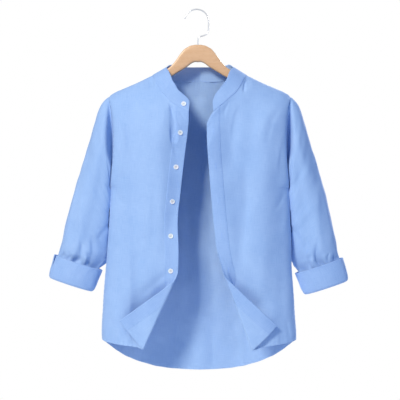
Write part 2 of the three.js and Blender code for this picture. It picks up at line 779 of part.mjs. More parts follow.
function gatherDepth(t, angle) {
  const face = Math.sin(angle) >= 0 ? "front" : "back";
  const across = Math.cos(angle);
  let sum = 0;
  for (const gather of sleeveGathers) {
    if (gather.face !== face) continue;
    const up = clamp((1 - t) / gather.reach, 0, 1);
    const off = (across - gather.across) / gather.width;
    sum += gather.depth * smooth(1 - up) * Math.exp(-off * off);
  }
  return sum * clamp((SLEEVE_END - t) / (SLEEVE_END - 1), 0, 1);
}

// The sleeve at a share t of its length and an angle from its outer edge (0) over its front to its underarm edge.
// Just off the armhole it dips into a groove, as set-in sleeves do when they hang.
function sleevePoint(side, t, angle) {
  const { sign, shiftX, shiftZ } = sleeves[side];
  const ring = Object.fromEntries(Object.entries(ringCurves).map(([key, fn]) => [key, fn(t)]));
  const cos = Math.cos(angle);
  const sin = Math.sin(angle);
  const groove = 0.45 * Math.exp(-(((t - 0.045) / 0.03) ** 2)) * Math.abs(sin);
  const shape = new THREE.Vector3(
    (ring.outerX + ring.innerX) / 2 + ((ring.outerX - ring.innerX) / 2) * cos,
    ring.y - (ring.depth * (1 - groove) - gatherDepth(t, angle)) * sin,
    (ring.outerZ + ring.innerZ) / 2 + ((ring.outerZ - ring.innerZ) / 2) * cos,
  );
  const hole = armhole(angle);
  const offSeam = { x: 1.3 + 0.5 * (1 - cos), depth: 0.98, height: 0.995 };
  const start = new THREE.Vector3(
    hole.x + offSeam.x,
    -hole.depth * offSeam.depth,
    armholeMiddleZ + (hole.z - armholeMiddleZ) * offSeam.height,
  );
  const away = smooth(clamp(t / 0.1, 0, 1));
  const p = start.lerp(shape, away);
  p.y += groove * ring.depth * sin * (1 - away);
  const hang = clamp(t, 0, 1) ** 3;
  p.x += shiftX * hang;
  p.z += shiftZ * hang;
  p.x *= sign;
  return p;
}

function sleeve(side) {
  const steps = [0, 0.025, 0.05, 0.08, 0.12, 0.18, 0.26, 0.35, 0.45, 0.55, 0.65, 0.74, 0.82, 0.89, 0.95, 1, SLEEVE_END];
  const angles = shares(24).map((s) => s * 2 * Math.PI);
  return wallOf(new Sheet().patch(steps.map((t) => angles.map((angle) => sleevePoint(side, t, angle)))), CLOTH);
}

// The turned-up cuff: from its inner end at the sleeve, round the fold, and up the outside to its free edge.
// It is open at the outer edge, where its two ends stand a little apart.
function cuff(side) {
  const { sign, shiftX, shiftZ } = sleeves[side];
  const roll = CUFF.wallToSleeve / 2;
  const profile = [
    { height: SLEEVE_END_HEIGHT - 1.2, in: 2 * roll },
    ...shares(5).map((s) => ({
      height: roll - roll * Math.sin(Math.PI * s),
      in: roll + roll * Math.cos(Math.PI * s),
    })),
    ...[12, 34, CUFF.height].map((height) => ({ height, in: 0 })),
  ];
  const slit = THREE.MathUtils.degToRad(9);
  const sheet = new Sheet();
  sheet.patch(
    profile.map(({ height, in: inward }) => {
      const open = THREE.MathUtils.degToRad(1 + 4.5 * (height / CUFF.height) ** 2);
      return shares(24).map((s) => {
        const angle = mix(slit + open, slit + 2 * Math.PI - open, s);
        const ring = cuffRing(height, inward);
        const cos = Math.cos(angle);
        const x = (ring.outerX + ring.innerX) / 2 + ((ring.outerX - ring.innerX) / 2) * cos;
        const z = (ring.outerZ + ring.innerZ) / 2 + ((ring.outerZ - ring.innerZ) / 2) * cos;
        return new THREE.Vector3(sign * (x + shiftX), ring.y - ring.depth * Math.sin(angle), z + shiftZ);
      });
    }),
  );
  return wallOf(sheet, DOUBLE_CLOTH);
}

// Buttons: a turned disc with a raised rim and a shallow well, its back on the cloth
function buttonGeometry() {
  const [r, h] = [BUTTON_RADIUS, BUTTON_THICK];
  const outline = [
    [0, 0],
    [r - 0.8, 0],
    [r, 0.9],
    [r - 0.3, h - 0.4],
    [r - 1.1, h],
    [r - 2, h - 0.8],
    [0, h - 0.8],
  ];
  const lathe = new THREE.LatheGeometry(outline.map(([x, y]) => new THREE.Vector2(x, y)), 14);
  const merged = mergeVertices(new THREE.BufferGeometry().setAttribute("position", lathe.attributes.position).setIndex(lathe.index), 1e-4);
  const triangles = [];
  for (let i = 0; i < merged.index.count; i += 3) {
    const [a, b, c] = [0, 1, 2].map((k) => merged.index.getX(i + k));
    if (a !== b && b !== c && c !== a) triangles.push(a, b, c);
  }
  return geometryFrom([...merged.attributes.position.array], triangles);
}

// Seats a button on a piece's outer face, at a point of the piece and the two ways along its surface there
function buttonAt(pointFn, wall) {
  const p = pointFn(0, 0);
  const across = pointFn(1, 0).sub(p);
  const up = pointFn(0, 1).sub(p);
  const normal = across.cross(up).normalize();
  if (normal.y > 0) normal.negate();
  const mesh = new THREE.Mesh(buttonGeometry());
  mesh.position.copy(p).addScaledVector(normal, wall / 2 + 0.45);
  mesh.quaternion.setFromUnitVectors(new THREE.Vector3(0, 1, 0), normal);
  return mesh;
}

function placketButton(number) {
  const { edgeX } = frontLines("right");
  const z = FIRST_BUTTON_Z - (number - 1) * BUTTON_SPACING;
  const x = edgeX(z) + BUTTON_FROM_EDGE;
  return buttonAt((across, up) => frontPoint("right", x + across, z + up), CLOTH);
}

function collarButton() {
  const share = 0.058;
  return buttonAt((across, up) => collarPoint("right", share + across * 0.01, 0.38 + up * 0.05), DOUBLE_CLOTH);
}

// Hanger and hook

function hanger() {
  const top = curve(hangerEdges, "x", "top");
  const foot = curve(hangerEdges, "x", "foot");
  const tip = hangerEdges.at(-1);
  const xs = [0, 8, 16, 24, 32, 41, 50, 60, 72, 86, 100, 118, 159, 190, 202, tip.x];
  const bevel = 3;
  const outline = [
    ...xs.map((x) => [x, top(x) - bevel]),
    ...[...xs].reverse().map((x) => [x, foot(x) + bevel]),
  ];
  const mirrored = outline.filter(([x]) => x > 0).reverse().map(([x, z]) => [-x, z]);
  const shape = new THREE.Shape([...outline, ...mirrored].map(([x, z]) => new THREE.Vector2(x, z)));
  const geometry = new THREE.ExtrudeGeometry(shape, {
    depth: HANGER_THICK - 2 * bevel,
    bevelThickness: bevel,
    bevelSize: bevel,
    bevelSegments: 2,
    curveSegments: 1,
  });
  geometry.translate(0, 0, -(HANGER_THICK - 2 * bevel) / 2);
  geometry.rotateX(Math.PI / 2);
  const socket = new THREE.CylinderGeometry(HOOK_WIRE + 0.3, HOOK_WIRE + 0.3, 40, 12);
  socket.rotateX(Math.PI / 2);
  socket.translate(0, 0, HOOK_FOOT - 0.4 + 20);
  return geometryOf(solidOf(geometry).subtract(solidOf(socket)));
}

const HOOK_FOOT = -106; // the stem's foot, seated in the hanger
const HOOK_TOP = HOOK_WIRE; // the wire's centre line above the origin, so that its inside touches the origin
const HOOK_MIDDLE = { x: -3.6, z: HOOK_TOP - HOOK_RADIUS };

class HookLine extends THREE.CurvePath {
  constructor() {
    super();
    const at = (x, z) => new THREE.Vector3(x, 0, z);
    const side = HOOK_MIDDLE.x + HOOK_RADIUS;
    const stem = new THREE.LineCurve3(at(0, HOOK_FOOT), at(0, -76));
    const bend = new THREE.CubicBezierCurve3(at(0, -76), at(0, -60), at(side, -74), at(side, -46));
    const rise = new THREE.LineCurve3(at(side, -46), at(side, HOOK_MIDDLE.z));
    this.add(stem);
    this.add(bend);
    this.add(rise);
    const end = THREE.MathUtils.degToRad(168);
    const count = 14;
    for (let i = 0; i < count; i += 1) {
      const [a, b] = [i, i + 1].map((k) => (k / count) * end);
      const on = (angle) =>
        at(HOOK_MIDDLE.x + HOOK_RADIUS * Math.cos(angle), HOOK_MIDDLE.z + HOOK_RADIUS * Math.sin(angle));
      this.add(new THREE.LineCurve3(on(a), on(b)));
    }
  }
}

function hook() {
  const corners = shares(8)
    .slice(1)
    .map((s) => new THREE.Vector2(HOOK_WIRE * Math.cos(s * 2 * Math.PI), HOOK_WIRE * Math.sin(s * 2 * Math.PI)));
  return new THREE.ExtrudeGeometry(new THREE.Shape(corners), {
    steps: 44,
    extrudePath: new HookLine(),
    bevelEnabled: false,
    curveSegments: 1,
  });
}

// Assembly

const cotton = { color: 0x9cc0f2, roughness: 0.85, metalness: 0 };
const cottonBand = { color: 0x93b8ec, roughness: 0.85, metalness: 0 };
const buttonWhite = { color: 0xf4f2ec, roughness: 0.35, metalness: 0 };
const beech = { color: 0xe3b98c, roughness: 0.5, metalness: 0 };
const chrome = { color: 0xd8dae0, roughness: 0.2, metalness: 1 };

function named(name, geometryOrMesh, look) {
  const mesh = geometryOrMesh.isMesh ? geometryOrMesh : new THREE.Mesh(geometryOrMesh);
  mesh.name = name;
  mesh.material = new THREE.MeshStandardMaterial(look);
  return mesh;
}

const shirt = new THREE.Group();
shirt.position.x = SHIRT_OFF_CENTRE;
shirt.add(named("back", backPanel(), cotton));
for (const side of ["right", "left"]) {
  shirt.add(named(`front_${side}`, frontPanel(side), cotton));
  shirt.add(named(`placket_${side}`, placket(side), cottonBand));
  shirt.add(named(`sleeve_${side}`, sleeve(side), cotton));
  shirt.add(named(`cuff_${side}`, cuff(side), cottonBand));
}
shirt.add(named("collar_band", collarBand(), cottonBand));
shirt.add(named("button_collar", collarButton(), buttonWhite));
for (let number = 1; number <= PLACKET_BUTTONS; number += 1) {
  shirt.add(named(`button_${number}`, placketButton(number), buttonWhite));
}

const garmentOnHanger = new THREE.Group();
garmentOnHanger.add(shirt);
garmentOnHanger.add(named("hanger", hanger(), beech));
garmentOnHanger.add(named("hook", hook(), chrome));

export default garmentOnHanger;
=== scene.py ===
"""A mandarin collar shirt of light blue cotton on a pale wooden hanger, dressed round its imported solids.

The shirt's pieces are worked out again here from the same cut as the solids, on finer grids, and each is
given its own thin wall. Lengths are millimetres until a mesh is made. x is measured from the middle of the
shirt towards one side, z is up, and -Y is the front. A piece of cloth is a function of its place in the
flat cut, so the weave, the hems and the seams follow the cut wherever it hangs, rolls or folds back.
"""

import bpy
import numpy as np
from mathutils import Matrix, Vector


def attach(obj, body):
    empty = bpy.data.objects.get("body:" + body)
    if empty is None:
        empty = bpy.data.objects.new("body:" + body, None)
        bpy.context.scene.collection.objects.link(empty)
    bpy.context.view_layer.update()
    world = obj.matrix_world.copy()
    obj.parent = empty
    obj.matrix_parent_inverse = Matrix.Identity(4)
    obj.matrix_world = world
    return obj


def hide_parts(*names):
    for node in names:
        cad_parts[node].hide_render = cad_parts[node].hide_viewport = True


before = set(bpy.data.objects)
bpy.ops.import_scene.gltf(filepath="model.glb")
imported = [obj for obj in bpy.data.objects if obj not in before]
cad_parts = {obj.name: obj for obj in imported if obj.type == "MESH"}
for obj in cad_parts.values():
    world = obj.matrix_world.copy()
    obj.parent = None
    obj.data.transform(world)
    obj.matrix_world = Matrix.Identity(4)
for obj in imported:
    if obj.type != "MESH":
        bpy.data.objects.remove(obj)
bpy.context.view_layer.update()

MM = 0.001

# Sizes shared with the solids

SHIRT_OFF_CENTRE = 4.5
FRONT_DEPTH = 72
BACK_DEPTH = 58
SHOULDER_ROUND = 170
SIDE_ROUND_CHEST = 150
SIDE_ROUND_SHOULDER = 40
PLACKET_WIDTH = 33
LEFT_SIDE_IN = 5.5
BELOW_HEM = -875
CORNER_ROLL = 5
CORNER_LIFT = 0.05
BUTTON_RADIUS = 6.25
BUTTON_THICK = 2.6
BUTTON_FROM_EDGE = 18.5
BUTTON_SPACING = 86.2
FIRST_BUTTON_Z = -316
PLACKET_BUTTONS = 5
HOOK_WIRE = 1.8
HOOK_RADIUS = 30.6
HANGER_THICK = 14

# Sizes of the finer form

CLOTH = 0.7
PLACKET_WALL = 1.7
COLLAR_WALL = 1.9
CUFF_WALL = 1.7
UNDER_PLACKET = 3
HEM_WIDTH = 6
STITCH_FROM_EDGE = 2.2
STITCH_PITCH = 3.0
STITCH_LENGTH = 2.3
THREAD_RADIUS = 0.28
STITCH_PROUD = 0.15
FINE_STEP = 0.9
LEAST_STEP = 0.35
DRAWN_YARN = 0.75


def table(columns, *rows):
    """Named columns of numbers, one row of the table a line."""
    return dict(zip(columns.split(), np.array(rows, float).T))


def rows_of(columns):
    """The table's rows again, each as names to numbers."""
    return [dict(zip(columns, row)) for row in zip(*columns.values())]


SHOULDER_TIP = {"x": 232, "z": -223}
UNDERARM = {"x": 228, "z": -452}
NECK_POINT = {"x": 118.6, "z": -166}
HEM_CORNER = {"x": 249, "z": -838}
ARMHOLE_DEPTH = 34
ARMHOLE_HOLLOW = 12

SHOULDER_LINE = table(
    "x z", (0, -113), (118.6, -166), (159, -185.5), (196, -201.5), (224, -215), (232, -223)
)
SIDE_SEAM = table(
    "z x", (-838, 249), (-816, 250), (-765, 247.4), (-704, 243.5), (-586, 234), (-484, 228.7), (-452, 228)
)
FRONT_HEM = table(
    "x z", (30, -857), (100, -859), (140, -857.5), (156, -852), (187, -848), (235, -842), (249, -838)
)
BACK_HEM = table(
    "x z",
    (0, -925), (60, -923), (102, -918), (131, -911), (180, -893), (208, -877), (230, -859), (243, -846),
    (249, -838),
)
BACK_NECK = table("x z", (0, -180), (60, -178), (100, -171.5), (118.6, -166))

FRONTS = {
    "right": {
        "sign": -1,
        "edge": table(
            "z x",
            (-862, 41), (-760, 50), (-690, 55), (-654, 53.3), (-594, 53), (-534, 54.3), (-474, 48.6),
            (-415, 42.4), (-355, 35.4), (-296, 28.2), (-264, 27.4),
        ),
        "neck": table(
            "x z", (27.4, -264), (65, -243.4), (86, -222), (104, -198), (115.5, -175), (118.6, -166)
        ),
        "collar_end": 27.4,
        "fold_high": (60.9, -670.3),
        "fold_low": (144.6, -854.3),
    },
    "left": {
        "sign": 1,
        "edge": table(
            "z x",
            (-862, 36.5), (-760, 49), (-700, 55.5), (-668, 56.5), (-640, 49.3), (-615, 43.6),
            (-594, 40.4), (-534, 33.7), (-474, 28.3), (-414, 23.5), (-354, 19), (-310, 17.4),
            (-284, 17.4),
        ),
        "neck": table(
            "x z",
            (17.4, -296), (21, -286), (27, -274), (35, -263), (57, -244), (77, -226), (98, -203),
            (112, -178), (118.6, -166),
        ),
        "collar_end": 34,
        "fold_high": (65.2, -665.7),
        "fold_low": (137.5, -857.8),
    },
}

# Soft folds of the body, the solids' own: each a ridge or a trough (depth below 0) from a high to a low point
FOLD_COLUMNS = "high_x high_z low_x low_z width depth"
SOFT_FOLDS = {
    "right": table(
        FOLD_COLUMNS,
        (172, -300, 152, -800, 24, -8),
        (92, -290, 92, -640, 24, 4),
        (70, -262, 63, -330, 6, -4),
        (126, -172, 119, -200, 6, -3),
    ),
    "left": table(
        FOLD_COLUMNS,
        (130, -270, 100, -620, 26, -6),
        (165, -330, 160, -760, 26, 4),
        (205, -420, 212, -800, 16, -4),
        (124, -174, 116, -204, 6, -3),
    ),
    "back": table(
        FOLD_COLUMNS,
        (-150, -300, -165, -840, 26, -8),
        (-70, -330, -78, -860, 30, 5),
        (10, -260, 4, -880, 24, -6),
        (84, -360, 92, -860, 30, 5),
        (158, -320, 150, -840, 24, -8),
    ),
}

# Creases listed on top of them. Each runs from (x0, z0) to (x1, z1) in the cut and bows sideways in the
# middle. Its width is the one on its soft side, and steep is the share of it on the other.
CREASE_COLUMNS = "x0 z0 x1 z1 bow width steep depth"
CREASES = {
    "right": table(
        CREASE_COLUMNS,
        (132, -176, 125, -208, 2, 4.2, 0.6, -3.2),
        (127, -173, 116, -199, 1, 3.2, 0.6, -2.4),
        (50, -267, 39, -287, 1, 3, 0.6, -1.3),
        (59, -282, 48, -302, 1, 3, 0.6, -1.1),
        (139, -183, 135, -204, 1, 3.5, 0.7, -1.1),
        (77, -242, 63, -304, 3, 5.5, 0.5, -2.4),
        (88, -246, 92, -300, 2, 9, 0.7, 1.3),
        (66, -306, 60, -372, -3, 6, 0.6, -1.3),
        (205, -262, 176, -352, 6, 11, 0.6, -1.6),
        (214, -330, 196, -430, 5, 9, 0.6, 1.4),
        (222, -440, 190, -500, -4, 9, 0.6, -1.5),
        (226, -470, 206, -560, -3, 10, 0.7, 1.3),
        (118, -420, 126, -620, 6, 13, 0.7, -1.6),
        (196, -560, 203, -760, 5, 12, 0.7, -1.8),
        (178, -600, 176, -800, 4, 10, 0.6, 1.5),
        (172, -796, 56, -724, 3, 46, 0.45, -22),
        (150, -846, 190, -800, 0, 12, 0.4, -4),
        (150, -722, 70, -664, 4, 12, 0.8, -3.0),
        (222, -790, 232, -842, 1, 8, 0.6, -1.2),
        (205, -800, 208, -846, 1, 7, 0.6, 1.0),
        (168, -812, 172, -850, 1, 8, 0.6, -1.1),
    ),
    "left": table(
        CREASE_COLUMNS,
        (119, -178, 112, -214, 2, 4.2, 0.6, -3.2),
        (113, -180, 101, -206, -1, 3.5, 0.6, -1.3),
        (126, -180, 124, -200, 1, 4, 0.7, -1.1),
        (76, -232, 60, -276, 3, 7, 0.6, -1.6),
        (92, -236, 84, -410, 6, 30, 0.8, -7.5),
        (92, -246, 74, -330, 4, 10, 0.6, 1.3),
        (198, -256, 168, -340, 6, 11, 0.6, -1.6),
        (214, -316, 192, -410, 5, 9, 0.6, 1.4),
        (223, -446, 186, -512, -4, 9, 0.6, -1.6),
        (226, -480, 208, -580, -3, 10, 0.7, 1.2),
        (112, -400, 104, -600, -6, 13, 0.7, -1.6),
        (140, -480, 132, -690, 5, 16, 0.8, 0.9),
        (188, -560, 192, -770, 5, 16, 0.8, -1.0),
        (156, -792, 40, -704, 3, 50, 0.45, -27),
        (140, -702, 58, -630, 4, 13, 0.8, -3.0),
        (226, -786, 234, -842, 1, 8, 0.6, -1.2),
        (198, -800, 200, -846, 1, 7, 0.6, 1.0),
        (165, -806, 168, -850, 1, 8, 0.6, -1.0),
    ),
    "back": table(
        CREASE_COLUMNS,
        (-205, -258, -172, -370, 6, 12, 0.6, -2.9),
        (204, -260, 168, -376, -6, 12, 0.6, -2.8),
        (-221, -445, -186, -508, 4, 9, 0.6, -1.6),
        (221, -448, 184, -516, -4, 9, 0.6, -1.5),
        (-110, -190, -96, -260, 4, 9, 0.7, -1.4),
        (104, -190, 92, -264, -4, 9, 0.7, -1.3),
        (-40, -200, -34, -300, 3, 12, 0.7, 1.1),
        (-110, -400, -122, -720, 6, 16, 0.7, -3.4),
        (-30, -470, -36, -780, -5, 15, 0.7, 2.8),
        (46, -380, 52, -680, 5, 15, 0.7, -3.2),
        (124, -440, 128, -780, -5, 15, 0.7, 2.9),
        (-196, -580, -204, -800, 4, 11, 0.7, -1.8),
        (197, -560, 206, -790, 4, 11, 0.7, -1.8),
        (-146, -800, -150, -900, 2, 9, 0.6, 1.4),
        (-60, -810, -62, -918, 2, 11, 0.6, -2.2),
        (34, -830, 36, -920, 2, 9, 0.6, 1.2),
        (112, -800, 118, -912, 2, 11, 0.6, -2.2),
    ),
}

# How far each front edge turns in (below 0) or stands up, and over what width
EDGE_TURN = {"right": {"by": -14, "over": 80}, "left": {"by": 11, "over": 66}}

# The collar band's top edge, as steps from its seam, at shares of the way round each half
COLLAR_RISE = table(
    "share x y z",
    (0, -3, 9, 33),
    (0.16, -17, 8, 30),
    (0.3, -27, 4, 27),
    (0.43, -34, -2, 23),
    (0.55, -33, -5, 19),
    (0.62, -28, -2, 31),
    (0.7, -18, -4, 36),
    (0.83, -9, -6, 37),
    (1, 0, -6, 38),
)
COLLAR_CORNER = 0.09
COLLAR_HALF = 280
COLLAR_HEIGHT = 40
COLLAR_SHOULDER = 0.55

SLEEVES = {"right": {"sign": -1, "x": 3, "z": 4}, "left": {"sign": 1, "x": -3, "z": -4}}
SLEEVE_RINGS = table(
    "t outer_x outer_z inner_x inner_z y depth",
    (0, 232, -223, 228, -452, 0, 34),
    (0.1, 252, -247, 232.5, -462, 3, 37),
    (0.2, 268, -290, 232.5, -480, 8, 42),
    (0.35, 287, -353, 232.8, -510, 14, 45),
    (0.5, 306, -412, 234.5, -540, 18, 46),
    (0.65, 325, -478, 237, -572, 20, 45),
    (0.8, 344, -558, 241, -610, 21, 42),
    (0.92, 355, -610, 246.5, -643, 20, 36),
)
SLEEVE_END = 1.14
SLEEVE_END_HEIGHT = 9
SLEEVE_LENGTH = 430
SLEEVE_CUT_WIDTH = 380

CUFF_TOP = {"x": 309, "z": -648}
CUFF_HEIGHT = 60
CUFF_TILT = np.radians(18.2)
CUFF_Y = 19
CUFF_WALL_TO_SLEEVE = 7
CUFF_BAND = table("height length depth", (0, 57, 26), (8, 60, 29), (30, 62, 32), (60, 64, 35))

# Gathers above the cuff: across is 1 at the outer edge and -1 at the underarm edge, face 1 is the front
SLEEVE_GATHERS = table(
    "face across width depth reach",
    (1, 0.8, 0.13, 7, 0.1),
    (1, 0.1, 0.14, 10, 0.16),
    (1, -1.0, 0.42, 22, 0.42),
    (-1, 0.55, 0.14, 9, 0.16),
    (-1, -0.1, 0.14, 10, 0.2),
    (-1, -0.65, 0.14, 8, 0.14),
)

# Creases of a sleeve, in its cut: x round it in degrees from the outer edge over the front, z down it in mm
SLEEVE_CREASES = table(
    CREASE_COLUMNS,
    (56, 396, 64, 428, 2, 3.5, 0.6, -2.4),
    (38, 404, 43, 430, 1, 3, 0.6, -1.6),
    (84, 356, 90, 430, 2, 6, 0.5, -5.2),
    (104, 398, 108, 430, 1, 3.5, 0.6, 1.6),
    (112, 330, 118, 430, 3, 7, 0.6, -3.4),
    (108, 380, 116, 430, 1, 5, 0.6, -2.6),
    (152, 270, 128, 330, -4, 7, 0.6, -2.0),
    (168, 210, 128, 290, 5, 9, 0.6, -2.2),
    (172, 130, 136, 200, 5, 9, 0.6, -2.2),
    (150, 40, 112, 120, 4, 8, 0.6, -2.0),
    (70, 40, 62, 200, 6, 12, 0.7, 1.8),
    (96, 90, 92, 400, 6, 16, 0.7, -3.8),
    (40, 120, 46, 330, -6, 12, 0.7, -1.6),
    (22, 190, 26, 360, 5, 10, 0.7, 1.4),
    (60, 260, 74, 390, 6, 11, 0.7, 1.8),
    (204, 220, 246, 300, 5, 9, 0.6, -2.2),
    (196, 130, 232, 210, 5, 9, 0.6, -2.0),
    (264, 70, 272, 320, 8, 14, 0.7, -2.4),
    (300, 110, 292, 360, 8, 13, 0.7, 1.9),
    (238, 360, 232, 428, 2, 4.5, 0.6, -2.6),
    (282, 380, 286, 430, 2, 4, 0.6, -2.2),
    (318, 392, 314, 430, 2, 3.5, 0.6, -1.8),
    (340, 200, 332, 380, 6, 10, 0.7, -1.6),
)

# Soft creases of a cuff, in its cut: x round it from the slit, z up its profile
CUFF_CREASES = table(
    CREASE_COLUMNS,
    (40, 30, 62, 70, 3, 9, 0.7, 0.8),
    (96, 24, 90, 66, -3, 8, 0.7, -0.9),
    (128, 26, 138, 74, 3, 9, 0.7, 0.8),
    (190, 22, 200, 70, 3, 10, 0.7, -0.9),
    (244, 26, 236, 72, 3, 9, 0.7, 0.8),
)

HANGER_EDGES = table(
    "x top foot",
    (0, -89, -133),
    (12, -89.8, -134),
    (28, -96, -145),
    (41, -107, -153),
    (54, -125, -161),
    (66, -140, -168.5),
    (82, -153, -177),
    (100, -167, -188),
    (118, -176.9, -198),
    (159, -193.8, -215),
    (190, -205.8, -228),
    (202, -211.8, -232),
    (208, -217.3, -230),
)

HOOK_FOOT = -106
HOOK_MIDDLE = (-3.6, HOOK_WIRE - HOOK_RADIUS)


def mix(a, b, share):
    """From a to b by a share."""
    return a + (b - a) * share


def smooth(share):
    """Three squares less two cubes of a share held from 0 to 1."""
    s = np.clip(share, 0, 1)
    return s * s * (3 - 2 * s)


def curve(columns, along, column):
    """A smooth curve through a column against another: the two end tangents of each stretch, mixed by
    smooth."""
    order = np.argsort(columns[along])
    at, value = columns[along][order], columns[column][order]
    ends = np.arange(len(at))
    before, after = np.maximum(ends - 1, 0), np.minimum(ends + 1, len(at) - 1)
    slope = (value[after] - value[before]) / (at[after] - at[before])

    def through(v):
        v = np.clip(v, at[0], at[-1])
        i = np.clip(np.searchsorted(at, v, side="right") - 1, 0, len(at) - 2)
        step = at[i + 1] - at[i]
        s = (v - at[i]) / step
        return mix(value[i] + slope[i] * step * s, value[i + 1] - slope[i + 1] * step * (1 - s), smooth(s))

    return through


def root_of(fn, low, high):
    """Where a function that rises or falls reaches zero, by halving."""
    low, high = float(low), float(high)
    starts_below = fn(low) < 0
    for _ in range(50):
        middle = (low + high) / 2
        if (fn(middle) < 0) == starts_below:
            low = middle
        else:
            high = middle
    return (low + high) / 2


def spread(length, step, fine_start=0, fine_end=0):
    """Shares from 0 to 1 about step apart, with a few close together at the start or the end, by their
    widths."""
    marks = [np.linspace(0, length, max(2, int(np.ceil(length / step)) + 1))]
    if fine_start:
        marks.append(np.arange(0, fine_start, FINE_STEP))
    if fine_end:
        marks.append(length - np.arange(0, fine_end, FINE_STEP))
    found = np.unique(np.concatenate(marks).round(4))
    keep = np.concatenate([[True], np.diff(found) > LEAST_STEP])
    keep[-1] = True
    return found[keep] / length


# The body's form

shoulder_z = curve(SHOULDER_LINE, "x", "z")
seam_x = curve(SIDE_SEAM, "z", "x")
front_hem_z = curve(FRONT_HEM, "x", "z")
back_hem_z = curve(BACK_HEM, "x", "z")
back_neck_z = curve(BACK_NECK, "x", "z")
ARMHOLE_MIDDLE_Z = (SHOULDER_TIP["z"] + UNDERARM["z"]) / 2
ARMHOLE_HALF = (SHOULDER_TIP["z"] - UNDERARM["z"]) / 2


def armhole(angle):
    """The armhole seam from the shoulder tip (0) over the front to the underarm (pi): a half circle seen
    from the side, hollowed towards the middle by the square of the sine."""
    z = ARMHOLE_MIDDLE_Z + ARMHOLE_HALF * np.cos(angle)
    straight = mix(UNDERARM["x"], SHOULDER_TIP["x"], (z - UNDERARM["z"]) / (2 * ARMHOLE_HALF))
    hollow = ARMHOLE_HOLLOW * np.sin(angle) ** 2 * (1 + 0.3 * np.cos(angle))
    return straight - hollow, ARMHOLE_DEPTH * np.sin(angle), z


def body_edge(z):
    """The body's edge at a height: the side seam, and above the underarm the armhole."""
    angle = np.arccos(np.clip((z - ARMHOLE_MIDDLE_Z) / ARMHOLE_HALF, -1, 1))
    hole_x, hole_depth, _ = armhole(angle)
    below = z <= UNDERARM["z"]
    return np.where(below, seam_x(z), hole_x), np.where(below, 0, hole_depth)


def hung_x(sign, x, z):
    """Where a point of the cut hangs sideways: its own x, except that the left side hangs in below the
    waist, most at the seam."""
    waist, low = smooth((-560 - z) / 120), mix(1, 0.55, np.clip((-790 - z) / 50, 0, 1))
    inward = LEFT_SIDE_IN * waist * low * smooth(x / HEM_CORNER["x"])
    return np.where(np.sign(sign) < 0, -x, x - inward) + SHIRT_OFF_CENTRE


def soft_folds(folds, x, z):
    """The sum of the folds: each a bell across its line, faded at its ends."""
    total = 0
    for f in rows_of(folds):
        along = (f["high_z"] - z) / (f["high_z"] - f["low_z"])
        fade = smooth((along + 0.25) / 0.25) * smooth((1.25 - along) / 0.25)
        off = (x - mix(f["high_x"], f["low_x"], along)) / f["width"]
        total = total + f["depth"] * fade * np.exp(-off * off)
    return total


def crease_relief(rows, x, z):
    """The sum of the creases: each a bell across a bowed line, narrower on its steep side, faded at its
    ends."""
    total = 0
    for c in rows_of(rows):
        dx, dz = c["x1"] - c["x0"], c["z1"] - c["z0"]
        length = np.hypot(dx, dz)
        along = ((x - c["x0"]) * dx + (z - c["z0"]) * dz) / length**2
        across = ((x - c["x0"]) * dz - (z - c["z0"]) * dx) / length
        across = across - c["bow"] * 4 * along * (1 - along)
        width = np.where(across > 0, c["width"], c["width"] * c["steep"])
        fade = smooth((along + 0.15) / 0.4) * smooth((1.15 - along) / 0.4)
        total = total + c["depth"] * fade * np.exp(-((across / width) ** 2))
    return total


def waviness(x, z, turn):
    """The small unevenness of worn cloth: a few waves of 30 to 90 mm, at angles of their own."""
    total = 0
    for n, (length, height) in enumerate([(88, 0.5), (61, 0.36), (43, 0.24), (29, 0.13)]):
        angle = turn + 1.9 * n
        across = x * np.cos(angle) + z * np.sin(angle)
        beside = x * np.sin(angle) - z * np.cos(angle)
        total = total + height * np.sin(2 * np.pi * across / length + 1.3 * np.sin(beside / length + turn))
    return total


def stands_out(x, z, full, folds, fold_x):
    """How far the cloth stands out from the plane of the side seams: nearly a quarter ellipse in from the
    side, times a rise below the shoulder line."""
    below = np.clip((shoulder_z(x) - z) / SHOULDER_ROUND, 0, 1)
    rise = (1 - (1 - below) ** 2) ** 0.62
    edge_x, edge_depth = body_edge(z)
    near = [body_edge(np.minimum(z + step, SHOULDER_TIP["z"])) for step in range(-40, 41, 10)]
    near_x, near_depth = zip(*near)
    inward = smooth((edge_x - x) / 36)
    edge_x, edge_depth = mix(edge_x, sum(near_x) / 9, inward), mix(edge_depth, sum(near_depth) / 9, inward)
    wide = smooth((SHOULDER_TIP["z"] - z) / 180)
    round_width = mix(SIDE_ROUND_SHOULDER, SIDE_ROUND_CHEST, wide)
    inside = np.clip((edge_x - x) / round_width, 0, 1)
    turn = np.sqrt(1 - (1 - inside) ** 2.2)
    depth = edge_depth + (full * rise - edge_depth) * turn
    return np.maximum(0, depth + soft_folds(folds, fold_x, z) * turn * rise)


def past_corner_fold(front, x, z):
    """How far a point of the cut lies past the fold line, and the way from the line to the corner."""
    (hx, hz), (lx, lz) = front["fold_high"], front["fold_low"]
    length = np.hypot(lx - hx, lz - hz)
    way = np.array([(lz - hz) / length, (hx - lx) / length])
    return (x - hx) * way[0] + (z - hz) * way[1], way


def front_point(side, x, z):
    """A front's point where it hangs. Past the fold line it turns round a roll and lies back on the front,
    lifting slowly towards the corner."""
    front = FRONTS[side]
    past, way = past_corner_fold(front, x, z)
    held = np.maximum(past, 0)
    rolled = np.minimum(held / CORNER_ROLL, np.pi)
    back = held - CORNER_ROLL * rolled
    move = CORNER_ROLL * np.sin(rolled) - back - held
    px, pz = x + move * way[0], z + move * way[1]
    lift = CORNER_ROLL * (1 - np.cos(rolled)) + CORNER_LIFT * back
    depth = stands_out(px, pz, FRONT_DEPTH, SOFT_FOLDS[side], px)
    return np.stack([hung_x(front["sign"], px, pz), -depth - lift, pz], -1)


